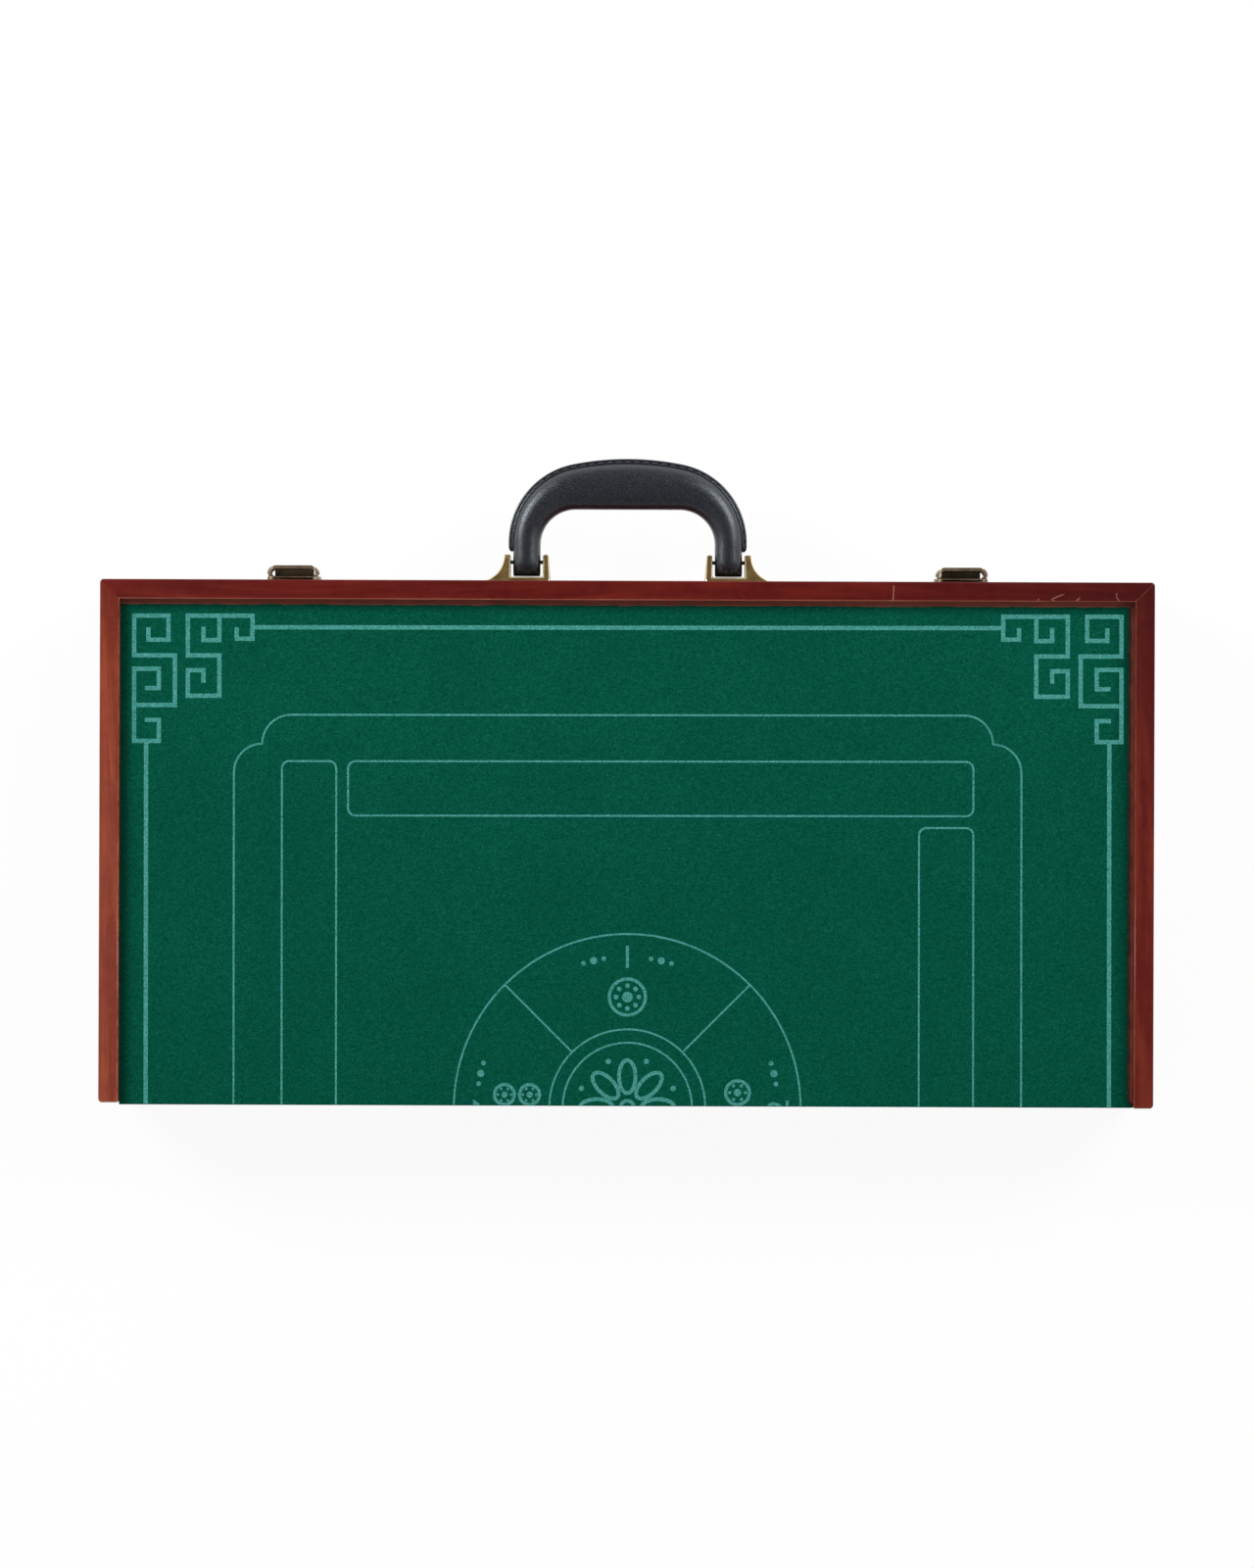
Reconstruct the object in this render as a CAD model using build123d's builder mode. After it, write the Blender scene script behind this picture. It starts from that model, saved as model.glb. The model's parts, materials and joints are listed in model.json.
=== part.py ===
from build123d import *
import math
import os

os.makedirs("parts", exist_ok=True)

# A folding case for mahjong tiles and racks. Two equal trays close mouth to mouth. The outer
# face of each tray is half of a square playing board, so the case opens by 180 degrees and is
# turned over to play on. It is modelled closed and lying flat: X runs along the hinge edge,
# the handle and latches are on the -Y side, and the lower tray rests at Z = 0.
# All sizes are in millimetres.

# ---- trays ----
case_width = 670.0
case_depth = 334.0
half_height = 45.0
rail_thickness = 12.5
corner_radius = 2.3
face_edge_radius = 1.2
inner_edge_radius = 0.8
short_rail_setback = 1.6
rim_gap = 0.2

hinge_wall_thickness = 12.5
panel_thickness = 4.0
groove_depth = 5.0
felt_recess = 6.0
felt_thickness = 1.0
felt_fold_radius = 0.9
felt_hinge_gap = 1.1
felt_front_gap = 3.2
felt_side_gap = 3.3
lining_thickness = 1.0

# ---- compartments ----
divider_thickness = 6.0
divider_shortfall = 0.5
tile_length = 30.0
tile_rows = 7
tile_bay_count = 3

# ---- hinges ----
hinge_count = 3
hinge_inset = 105.0
hinge_length = 60.0
knuckle_count = 5
knuckle_radius = 2.6
knuckle_end_gap = 0.3
hinge_pin_radius = 1.3
pin_clearance = 0.05
axis_offset = 0.2
leaf_thickness = 1.1
leaf_margin = 1.2
notch_clearance = 0.3
mortise_clearance = 0.1
hinge_screw_count = 3
hinge_screw_pitch = 20.0
hinge_screw_radius = 1.4
hinge_screw_head_radius = 2.6
hinge_screw_length = 10.0
screw_clearance = 0.05

# ---- handle ----
pin_stand_off = 12.65
handle_rise = 66.4
handle_half_span = 76.25
crown_radius = 178.0
shoulder_height = 12.75
handle_edge_radius = 6.0
seam_strip_width = 2.9
seam_strip_thickness = 3.6
seam_strip_edge_radius = 0.8
seam_strip_gap = 2.0
leg_width = 17.65
grip_opening_height = 33.65
grip_opening_radius = 22.5
leg_floor_gap = 0.7
leg_side_gap = 1.5
handle_pin_radius = 1.2

# ---- handle brackets ----
inner_ear_thickness = 3.7
inner_ear_taper = 1.05
outer_ear_thickness = 4.55
ear_rounding = 4.9
bracket_base = 2.9
bracket_height = 24.0
bracket_corner_radius = 1.5
flare_reach = 16.0
flare_sag = 0.28
bracket_screw_pitch = 15.0
bracket_screw_radius = 2.0
bracket_screw_head_radius = 3.6
bracket_screw_head_height = 2.2
washer_radius = 4.5
washer_thickness = 1.0
washer_margin = 1.0

# ---- latches ----
latch_inset = 122.0
latch_width = 33.0
base_plate_low = 6.0
base_plate_height = 32.0
base_plate_rise = 2.5
base_plate_skin = 1.0
base_plate_rim = 3.5
base_plate_corner_radius = 4.0
lever_pivot_level = 12.0
lever_throw = 8.0
lever_skin = 2.2
lever_floor_gap = 0.4
neck_width = 19.2
cheek_thickness = 1.1
cheek_end_radius = 2.1
latch_ear_thickness = 1.2
latch_side_gap = 0.3
lever_pin_radius = 0.9
link_pin_radius = 0.8
bill_clearance = 1.5
bill_overhang = 2.0
bill_edge_drop = 5.4
bill_flat_width = 22.0
bill_wall_width = 25.0
bill_corner_radius = 5.0
link_arm_thickness = 1.6
link_arm_gap = 0.8
link_arm_half_width = 1.3
link_eye_radius = 1.5
link_bar_radius = 1.2
link_floor_gap = 0.3
link_bar_level = -9.0

# ---- latch catches ----
catch_width = 26.0
catch_skin = 1.2
catch_low = -24.0
catch_nose_width = 16.0
catch_nose_thickness = 3.0
catch_bar_gap = 0.3
catch_floor_gap = 1.6
catch_corner_radius = 3.0
catch_screw_level = -19.5
catch_screw_pitch = 8.5
catch_screw_count = 3

latch_screw_radius = 0.95
latch_screw_length = 9.0
latch_screw_head_radius = 1.7
latch_screw_head_height = 0.9
latch_screw_inset = 2.2
latch_screw_setback = 3.6
screw_tip_length = 2.0
screw_head_edge_radius = 0.5

# ---- places that follow from the sizes above ----
front_reach = pin_stand_off + handle_rise
back_reach = axis_offset + knuckle_radius
y_front = front_reach - (front_reach + case_depth + back_reach) / 2
y_back = y_front + case_depth
y_axis = y_back + axis_offset
y_inner_front = y_front + rail_thickness
y_wall_outer = y_back - felt_thickness
y_wall_inner = y_wall_outer - hinge_wall_thickness
z_mate = half_height

half_width = case_width / 2
inner_half_width = half_width - rail_thickness
rim = rim_gap / 2
felt_top = half_height - felt_recess
panel_top = felt_top - felt_thickness
panel_low = panel_top - panel_thickness
lining_low = panel_low - lining_thickness

y_divider = y_wall_inner - tile_length * tile_rows - divider_thickness
hinge_spacing = (case_width - 2 * hinge_inset) / (hinge_count - 1)
hinge_places = [hinge_spacing * (i - (hinge_count - 1) / 2) for i in range(hinge_count)]
leaf_reach = hinge_wall_thickness + felt_thickness + axis_offset - leaf_margin
felt_wrap_margin = knuckle_radius + notch_clearance + felt_hinge_gap
latch_places = {"left": latch_inset - half_width, "right": half_width - latch_inset}
handle_sides = {"left": -1, "right": 1}
halves = {"lower": -1, "upper": 1}
handle_level = lining_low - washer_margin - washer_radius - bracket_screw_pitch / 2
z_handle = z_mate + handle_level
y_handle_pin = y_front - pin_stand_off
leg_outer = handle_half_span - seam_strip_width
leg_inner = leg_outer - leg_width
leg_middle = (leg_inner + leg_outer) / 2
leg_end_radius = pin_stand_off - bracket_base - leg_floor_gap
handle_thickness = 2 * leg_end_radius
ear_gap_inner = leg_inner - leg_side_gap
ear_gap_outer = leg_outer + leg_side_gap
seam_strip_start = ear_rounding + seam_strip_gap

lever_pivot_height = base_plate_rise + lever_floor_gap + cheek_end_radius
lever_top = lever_pivot_height + cheek_end_radius + lever_skin
link_pivot_level = lever_pivot_level + lever_throw
link_pivot_height = base_plate_rise + link_floor_gap + link_eye_radius
link_bar_height = catch_skin + catch_floor_gap + link_bar_radius
base_plate_high = base_plate_low + base_plate_height
bill_start = link_pivot_level + link_eye_radius + bill_clearance
bill_end = base_plate_high + bill_overhang
bill_edge_height = lever_top - bill_edge_drop
latch_ear_radius = cheek_end_radius - latch_side_gap


def keep(builder, node_name):
    """Label a finished piece and write it as its own file."""
    builder.part.label = node_name
    export_step(builder.part, f"parts/{node_name}.step")


def level(side, distance):
    """Height of a plane that lies a distance from the mating plane, in the lower or upper half."""
    return z_mate + side * distance


def out(height):
    """Y of a point that stands a height proud of the handle-side face."""
    return y_front - height


def row(count, pitch):
    """Evenly spaced places along X, centred on zero."""
    return [pitch * (i - (count - 1) / 2) for i in range(count)]


# =====================================================================================
# Trays
# =====================================================================================


def outline_block(side, y_end):
    """The half's outer block with its rounded corners and face edges; rails are cut from it."""
    with BuildPart() as block:
        with BuildSketch(Plane.XY.offset(level(side, rim))):
            with Locations((0, (y_front + y_end) / 2)):
                RectangleRounded(case_width, y_end - y_front, corner_radius)
        extrude(amount=side * (half_height - rim))
        outer_face = block.faces().filter_by(Axis.Z).sort_by(Axis.Z)[-1 if side > 0 else 0]
        fillet(outer_face.edges(), face_edge_radius)
    return block.part


def groove_outline():
    """Plan of the part of the panel that is let into the rails, drawn in the current sketch."""
    y_start = y_inner_front - groove_depth
    with Locations((0, (y_start + y_wall_inner) / 2)):
        Rectangle(2 * (inner_half_width + groove_depth), y_wall_inner - y_start)


def bracket_screw_places():
    """X and Z of the screws that hold both handle brackets."""
    half_pitch = bracket_screw_pitch / 2
    return [(x * leg_middle, z_handle + s * half_pitch) for x in (-1, 1) for s in (-1, 1)]


def latch_screw_places():
    """X and Z of the four screws in each latch's base plate."""
    reach = latch_width / 2 - latch_screw_inset
    levels = (base_plate_low + latch_screw_setback, base_plate_high - latch_screw_setback)
    places = latch_places.values()
    return [(x + s * reach, level(1, w)) for x in places for s in (-1, 1) for w in levels]


def catch_screw_places():
    """X and Z of the screws in each latch's catch plate."""
    columns = row(catch_screw_count, catch_screw_pitch)
    return [(x + c, z_mate + catch_screw_level) for x in latch_places.values() for c in columns]


def front_rail(name, side):
    """Handle-side rail, mitred at both ends and grooved for the panel."""
    block = outline_block(side, y_back)
    with BuildPart() as rail:
        with BuildSketch(Plane.XY.offset(level(side, rim))):
            with BuildLine():
                Polyline(
                    (-half_width, y_front),
                    (half_width, y_front),
                    (inner_half_width, y_inner_front),
                    (-inner_half_width, y_inner_front),
                    close=True,
                )
            make_face()
        extrude(amount=side * (half_height - rim))
        add(block, mode=Mode.INTERSECT)
        with BuildSketch(Plane.XY.offset(level(side, panel_low))):
            groove_outline()
        extrude(amount=side * panel_thickness, mode=Mode.SUBTRACT)
        along = rail.edges().filter_by(Axis.X).group_by(Axis.Z)[-1 if side > 0 else 0]
        fillet(along.sort_by(Axis.Y)[-1], inner_edge_radius)
        wall_face = Plane.XZ.offset(-y_front)
        plate_screws = latch_screw_places() if side > 0 else catch_screw_places()
        plate_rise = base_plate_rise if side > 0 else catch_skin
        with BuildSketch(wall_face):
            with Locations(*plate_screws):
                Circle(latch_screw_radius + screw_clearance)
        extrude(amount=-(latch_screw_length - plate_rise), mode=Mode.SUBTRACT)
        if side > 0:
            with BuildSketch(wall_face):
                with Locations(*bracket_screw_places()):
                    Circle(bracket_screw_radius + screw_clearance)
            extrude(amount=-rail_thickness, mode=Mode.SUBTRACT)
    keep(rail, name)


def side_rail(name, side, end, setback):
    """Side rail from the mitred corner to the hinge edge."""
    y_end = y_back - setback
    block = outline_block(side, y_end)
    with BuildPart() as rail:
        with BuildSketch(Plane.XY.offset(level(side, rim))):
            with BuildLine():
                Polyline(
                    (end * half_width, y_front),
                    (end * half_width, y_end),
                    (end * inner_half_width, y_end),
                    (end * inner_half_width, y_inner_front),
                    close=True,
                )
            make_face()
        extrude(amount=side * (half_height - rim))
        add(block, mode=Mode.INTERSECT)
        with BuildSketch(Plane.XY.offset(level(side, panel_low))):
            groove_outline()
        extrude(amount=side * panel_thickness, mode=Mode.SUBTRACT)
        along = rail.edges().filter_by(Axis.Y).group_by(Axis.Z)[-1 if side > 0 else 0]
        fillet(along.sort_by(Axis.X)[0 if end > 0 else -1], inner_edge_radius)
    keep(rail, name)


def hinge_screw_places():
    """X of every hinge screw, and their common Y."""
    y_screw = y_axis - (leaf_reach + knuckle_radius + notch_clearance) / 2
    columns = row(hinge_screw_count, hinge_screw_pitch)
    return [(x + c, y_screw) for x in hinge_places for c in columns]


def hinge_wall(name, side):
    """Wall under the hinge edge of the panel, let out for the hinge leaves and knuckles."""
    mortise_length = hinge_length + 2 * mortise_clearance
    mortise_reach = leaf_reach + mortise_clearance
    with BuildPart() as wall:
        with BuildSketch(Plane.XY.offset(level(side, rim))):
            with Locations((0, (y_wall_inner + y_wall_outer) / 2)):
                Rectangle(2 * inner_half_width, hinge_wall_thickness)
        extrude(amount=side * (panel_low - rim))
        with BuildSketch(Plane.XY.offset(level(side, rim))):
            with Locations(*[(x, y_axis - mortise_reach / 2) for x in hinge_places]):
                Rectangle(mortise_length, mortise_reach)
        extrude(amount=side * leaf_thickness, mode=Mode.SUBTRACT)
        for x in hinge_places:
            with BuildSketch(Plane.YZ.offset(x - mortise_length / 2)):
                with Locations((y_axis, z_mate)):
                    Circle(knuckle_radius + notch_clearance)
            extrude(amount=mortise_length, mode=Mode.SUBTRACT)
        with BuildSketch(Plane.XY.offset(level(side, rim))):
            with Locations(*hinge_screw_places()):
                Circle(hinge_screw_radius + screw_clearance)
        extrude(amount=side * hinge_screw_length, mode=Mode.SUBTRACT)
    keep(wall, name)


def panel(name, side):
    """Thin board behind the playing felt, grooved into three rails and lying on the hinge wall."""
    with BuildPart() as board:
        with BuildSketch(Plane.XY.offset(level(side, panel_low))):
            groove_outline()
            with Locations((0, (y_wall_inner + y_wall_outer) / 2)):
                Rectangle(2 * inner_half_width, hinge_wall_thickness)
        extrude(amount=side * panel_thickness)
    keep(board, name)


def playing_felt(name, side):
    """Felt on the panel, folded over the hinge edge and down the hinge wall.

    It stops short of the handle rail and the left rail.
    """
    felt_width = 2 * inner_half_width - felt_side_gap
    x_middle = felt_side_gap / 2
    y_felt_front = y_inner_front + felt_front_gap
    with BuildPart() as felt:
        with BuildSketch(Plane.XY.offset(level(side, panel_top))):
            with Locations((x_middle, (y_felt_front + y_back) / 2)):
                Rectangle(felt_width, y_back - y_felt_front)
        extrude(amount=side * felt_thickness)
        with BuildSketch(Plane.XY.offset(level(side, felt_wrap_margin))):
            with Locations((x_middle, (y_wall_outer + y_back) / 2)):
                Rectangle(felt_width, felt_thickness)
        extrude(amount=side * (panel_top - felt_wrap_margin))
        outer = felt.edges().filter_by(Axis.X).group_by(Axis.Z)[-1 if side > 0 else 0]
        fillet(outer.sort_by(Axis.Y)[-1], felt_fold_radius)
    keep(felt, name)


def lining(name, side):
    """Soft sheet glued inside the tray."""
    with BuildPart() as sheet:
        with BuildSketch(Plane.XY.offset(level(side, lining_low))):
            with Locations((0, (y_inner_front + y_wall_inner) / 2)):
                Rectangle(2 * inner_half_width, y_wall_inner - y_inner_front)
        extrude(amount=side * lining_thickness)
    keep(sheet, name)


def long_divider(name, side):
    """Divider between the rack bay and the tile bays."""
    with BuildPart() as divider:
        with BuildSketch(Plane.XY.offset(level(side, divider_shortfall))):
            with Locations((0, y_divider + divider_thickness / 2)):
                Rectangle(2 * inner_half_width, divider_thickness)
        extrude(amount=side * (lining_low - divider_shortfall))
    keep(divider, name)


def cross_dividers(name, side):
    """Dividers between the tile bays, from the long divider to the hinge wall."""
    y_start = y_divider + divider_thickness
    bay_pitch = (2 * inner_half_width + divider_thickness) / tile_bay_count
    with BuildPart() as dividers:
        with BuildSketch(Plane.XY.offset(level(side, divider_shortfall))):
            with Locations(*[(x, (y_start + y_wall_inner) / 2) for x in row(tile_bay_count - 1, bay_pitch)]):
                Rectangle(divider_thickness, y_wall_inner - y_start)
        extrude(amount=side * (lining_low - divider_shortfall))
    keep(dividers, name)


for half_name, half_side in halves.items():
    front_rail(f"{half_name}_handle_rail", half_side)
    side_rail(f"{half_name}_left_rail", half_side, -1, 0)
    side_rail(f"{half_name}_right_rail", half_side, 1, short_rail_setback)
    hinge_wall(f"{half_name}_hinge_wall", half_side)
    panel(f"{half_name}_panel", half_side)
    playing_felt(f"{half_name}_playing_felt", half_side)
    lining(f"{half_name}_lining", half_side)
    long_divider(f"{half_name}_long_divider", half_side)
    cross_dividers(f"{half_name}_cross_dividers", half_side)


# =====================================================================================
# Screws
# =====================================================================================


def countersunk_screw(radius, head_radius, head_height, length):
    """Wood screw with its head's flat face at Z = 0 and its point down."""
    with BuildPart() as screw:
        with BuildSketch(Plane.XZ):
            with BuildLine():
                Polyline(
                    (0, 0),
                    (head_radius, 0),
                    (radius, -head_height),
                    (radius, screw_tip_length - length),
                    (0, -length),
                    close=True,
                )
            make_face()
        revolve(axis=Axis.Z)
    return screw.part


def round_head_screw(radius, head_radius, head_height, length, tip_length):
    """Screw whose rounded head stands on Z = 0, with its shank below."""
    with BuildPart() as screw:
        with BuildSketch(Plane.XY):
            Circle(head_radius)
        extrude(amount=head_height)
        fillet(screw.edges().group_by(Axis.Z)[-1], screw_head_edge_radius)
        with BuildSketch(Plane.XY):
            Circle(radius)
        extrude(amount=-length)
        chamfer(screw.edges().group_by(Axis.Z)[0], tip_length, radius / 2)
    return screw.part


def screw_group(name, screw, places, turn):
    """Copies of one screw as a group of separate solids, turned about X by an angle."""
    with BuildPart() as group:
        with Locations(*[Location(place, (turn, 0, 0)) for place in places]):
            add(screw)
    keep(group, name)


hinge_screw = countersunk_screw(
    hinge_screw_radius, hinge_screw_head_radius, leaf_thickness, hinge_screw_length
)
for half_name, half_side in halves.items():
    screw_places = [(x, y, level(half_side, rim)) for x, y in hinge_screw_places()]
    screw_group(f"{half_name}_hinge_screws", hinge_screw, screw_places, 180 if half_side > 0 else 0)


small_screw = round_head_screw(
    latch_screw_radius,
    latch_screw_head_radius,
    latch_screw_head_height,
    latch_screw_length,
    screw_tip_length / 2,
)
screw_group(
    "latch_screws", small_screw, [(x, out(base_plate_rise), z) for x, z in latch_screw_places()], 90
)
screw_group(
    "catch_screws", small_screw, [(x, out(catch_skin), z) for x, z in catch_screw_places()], 90
)

bracket_screw = round_head_screw(
    bracket_screw_radius,
    bracket_screw_head_radius,
    bracket_screw_head_height,
    washer_thickness + rail_thickness + bracket_base,
    screw_clearance,
)
screw_group(
    "handle_screws",
    bracket_screw,
    [(x, y_inner_front + washer_thickness, z) for x, z in bracket_screw_places()],
    -90,
)

with BuildPart() as handle_washers:
    with BuildSketch(Plane.XZ.offset(-y_inner_front)):
        with Locations(*bracket_screw_places()):
            Circle(washer_radius)
            Circle(bracket_screw_radius + screw_clearance, mode=Mode.SUBTRACT)
    extrude(amount=-washer_thickness)
keep(handle_washers, "handle_washers")


# =====================================================================================
# Hinges
# =====================================================================================


def knuckle_starts(x_hinge, first):
    """Start X and length of every second knuckle of a hinge, from the given one on."""
    pitch = hinge_length / knuckle_count
    x_start = x_hinge - hinge_length / 2
    starts = range(first, knuckle_count, 2)
    return [(x_start + i * pitch + knuckle_end_gap / 2, pitch - knuckle_end_gap) for i in starts]


def hinge_leaf(name, side, x_hinge):
    """Leaf let into the rim, with its own knuckles round the pin."""
    plate_start = knuckle_radius + notch_clearance
    with BuildPart() as leaf:
        with BuildSketch(Plane.XY.offset(level(side, rim))):
            with Locations((x_hinge, y_axis - (leaf_reach + plate_start) / 2)):
                Rectangle(hinge_length, leaf_reach - plate_start)
        extrude(amount=side * leaf_thickness)
        for x_start, length in knuckle_starts(x_hinge, 0 if side < 0 else 1):
            with BuildSketch(Plane.YZ.offset(x_start)):
                with Locations((y_axis, z_mate)):
                    Circle(knuckle_radius)
                with Locations((y_axis - plate_start / 2, level(side, rim + leaf_thickness / 2))):
                    Rectangle(plate_start, leaf_thickness)
            extrude(amount=length)
        with BuildSketch(Plane.YZ.offset(x_hinge - hinge_length / 2)):
            with Locations((y_axis, z_mate)):
                Circle(hinge_pin_radius + pin_clearance)
        extrude(amount=hinge_length, mode=Mode.SUBTRACT)
        for x_screw, y_screw in hinge_screw_places():
            if abs(x_screw - x_hinge) < hinge_length / 2:
                with BuildSketch(Plane.XY.offset(level(side, rim))):
                    with Locations((x_screw, y_screw)):
                        Circle(hinge_screw_head_radius + screw_clearance)
                with BuildSketch(Plane.XY.offset(level(side, rim + leaf_thickness))):
                    with Locations((x_screw, y_screw)):
                        Circle(hinge_screw_radius + screw_clearance)
                loft(mode=Mode.SUBTRACT)
    keep(leaf, name)


def hinge_pin(name, x_hinge):
    """Pin through all the knuckles of one hinge."""
    with BuildPart() as pin:
        with BuildSketch(Plane.YZ.offset(x_hinge - hinge_length / 2)):
            with Locations((y_axis, z_mate)):
                Circle(hinge_pin_radius)
        extrude(amount=hinge_length)
    keep(pin, name)


for place_name, x_place in zip(("left", "middle", "right"), hinge_places):
    hinge_leaf(f"{place_name}_hinge_lower_leaf", -1, x_place)
    hinge_leaf(f"{place_name}_hinge_upper_leaf", 1, x_place)
    hinge_pin(f"{place_name}_hinge_pin", x_place)


# =====================================================================================
# Handle
# =====================================================================================


def crown_outline(inset, y_foot):
    """Draw the handle's outer outline, inset by a distance, from foot to foot, in the current line.

    It is two shoulder arcs and a flatter top arc, which meet smoothly.
    """
    drop = crown_radius - handle_rise + shoulder_height
    shoulder_radius = (crown_radius**2 - drop**2 - handle_half_span**2) / (
        2 * (crown_radius - handle_half_span)
    )
    x_centre = handle_half_span - shoulder_radius
    y_shoulder = y_handle_pin - shoulder_height
    y_crown_centre = y_handle_pin - handle_rise + crown_radius
    join_angle = math.atan2(x_centre, drop)
    small, large = shoulder_radius - inset, crown_radius - inset
    join = (large * math.sin(join_angle), y_crown_centre - large * math.cos(join_angle))
    mid_angle = (join_angle + math.pi / 2) / 2
    middle = (x_centre + small * math.sin(mid_angle), y_shoulder - small * math.cos(mid_angle))
    x_side = handle_half_span - inset
    for s in (-1, 1):
        Line((s * x_side, y_foot), (s * x_side, y_shoulder))
        ThreePointArc((s * x_side, y_shoulder), (s * middle[0], middle[1]), (s * join[0], join[1]))
    ThreePointArc((-join[0], join[1]), (0, y_crown_centre - large), join)


y_strip_foot = y_handle_pin - seam_strip_start
y_leg_stub = y_handle_pin + leg_end_radius + 2 * handle_edge_radius
y_opening = y_handle_pin - grip_opening_height

with BuildPart() as handle_grip:
    with BuildSketch(Plane.XY.offset(z_handle - handle_thickness / 2)):
        with BuildLine():
            crown_outline(seam_strip_width, y_leg_stub)
            FilletPolyline(
                (-leg_inner, y_leg_stub),
                (-leg_inner, y_opening),
                (leg_inner, y_opening),
                (leg_inner, y_leg_stub),
                radius=grip_opening_radius,
            )
            for s in (-1, 1):
                Line((s * leg_inner, y_leg_stub), (s * leg_outer, y_leg_stub))
        make_face()
    extrude(amount=handle_thickness)
    fillet(handle_grip.faces().filter_by(Axis.Z).edges(), handle_edge_radius)
    with BuildSketch(Plane.YZ.offset(-handle_half_span)):
        with Locations((y_handle_pin, z_handle)):
            Circle(leg_end_radius)
        with Locations((y_handle_pin - handle_rise / 2, z_handle)):
            Rectangle(handle_rise, handle_thickness)
    extrude(amount=2 * handle_half_span, mode=Mode.INTERSECT)
    with BuildSketch(Plane.YZ.offset(-handle_half_span)):
        with Locations((y_handle_pin, z_handle)):
            Circle(handle_pin_radius + pin_clearance)
    extrude(amount=2 * handle_half_span, mode=Mode.SUBTRACT)
keep(handle_grip, "handle_grip")

with BuildPart() as handle_seam_strip:
    with BuildSketch(Plane.XY.offset(z_handle - seam_strip_thickness / 2)):
        with BuildLine():
            crown_outline(0, y_strip_foot)
            crown_outline(seam_strip_width, y_strip_foot)
            for s in (-1, 1):
                Line((s * leg_outer, y_strip_foot), (s * handle_half_span, y_strip_foot))
        make_face()
    extrude(amount=seam_strip_thickness)
    outer_rim = handle_seam_strip.faces().filter_by(GeomType.CYLINDER).sort_by(Axis.Y)[0]
    fillet(outer_rim.edges().filter_by(GeomType.CIRCLE), seam_strip_edge_radius)
keep(handle_seam_strip, "handle_seam_strip")


def handle_bracket(name, side):
    """Cast bracket: a base, two ears that narrow to the pin and a hollow flare on the outer side."""
    ear_top = pin_stand_off + ear_rounding
    ear_outer_face = ear_gap_outer + outer_ear_thickness
    flare_end = ear_outer_face + flare_reach
    inner_ear_face = ear_gap_inner - inner_ear_thickness
    foot_end = inner_ear_face - inner_ear_taper
    flare_middle = (ear_outer_face + flare_reach * flare_sag, ear_top * flare_sag)
    base_corner = math.hypot(pin_stand_off, bracket_height / 2)
    lean = math.acos(ear_rounding / base_corner) - math.atan2(pin_stand_off, bracket_height / 2)
    y_lean = out(pin_stand_off + ear_rounding * math.sin(lean))
    z_lean = ear_rounding * math.cos(lean)
    with BuildPart() as bracket:
        with BuildSketch(Plane.XY.offset(z_handle - bracket_height / 2)):
            with BuildLine():
                ThreePointArc(
                    (side * flare_end, out(0)),
                    (side * flare_middle[0], out(flare_middle[1])),
                    (side * ear_outer_face, out(ear_top)),
                )
                Polyline(
                    (side * ear_outer_face, out(ear_top)),
                    (side * ear_gap_outer, out(ear_top)),
                    (side * ear_gap_outer, out(bracket_base)),
                    (side * ear_gap_inner, out(bracket_base)),
                    (side * ear_gap_inner, out(ear_top)),
                    (side * inner_ear_face, out(ear_top)),
                    (side * foot_end, out(0)),
                    (side * flare_end, out(0)),
                )
            make_face()
        extrude(amount=bracket_height)
        with BuildSketch(Plane.YZ.offset(min(side * flare_end, 0))):
            Polygon(
                (out(0), z_handle - bracket_height / 2),
                (out(0), z_handle + bracket_height / 2),
                (y_lean, z_handle + z_lean),
                (y_lean, z_handle - z_lean),
                align=None,
            )
            with Locations((y_handle_pin, z_handle)):
                Circle(ear_rounding)
        extrude(amount=flare_end, mode=Mode.INTERSECT)
        with BuildSketch(Plane.XZ.offset(-out(0))):
            with Locations((side * (flare_end + foot_end) / 2, z_handle)):
                RectangleRounded(flare_end - foot_end, bracket_height, bracket_corner_radius)
        extrude(amount=ear_top, mode=Mode.INTERSECT)
        with BuildSketch(Plane.YZ.offset(min(side * flare_end, 0))):
            with Locations((y_handle_pin, z_handle)):
                Circle(handle_pin_radius + pin_clearance)
        extrude(amount=flare_end, mode=Mode.SUBTRACT)
        with BuildSketch(Plane.XZ.offset(-out(0))):
            with Locations(*bracket_screw_places()):
                Circle(bracket_screw_radius + screw_clearance)
        extrude(amount=bracket_base, mode=Mode.SUBTRACT)
    keep(bracket, name)


def handle_pin(name, side):
    """Pin through the two ears of a bracket and the handle's leg."""
    pin_length = ear_gap_outer + outer_ear_thickness - ear_gap_inner + inner_ear_thickness
    x_ends = (side * (ear_gap_inner - inner_ear_thickness), side * (ear_gap_outer + outer_ear_thickness))
    with BuildPart() as pin:
        with BuildSketch(Plane.YZ.offset(min(x_ends))):
            with Locations((y_handle_pin, z_handle)):
                Circle(handle_pin_radius)
        extrude(amount=pin_length)
    keep(pin, name)


for side_name, side_sign in handle_sides.items():
    handle_bracket(f"{side_name}_handle_bracket", side_sign)
    handle_pin(f"{side_name}_handle_pin", side_sign)


# =====================================================================================
# Latches
# =====================================================================================


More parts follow.
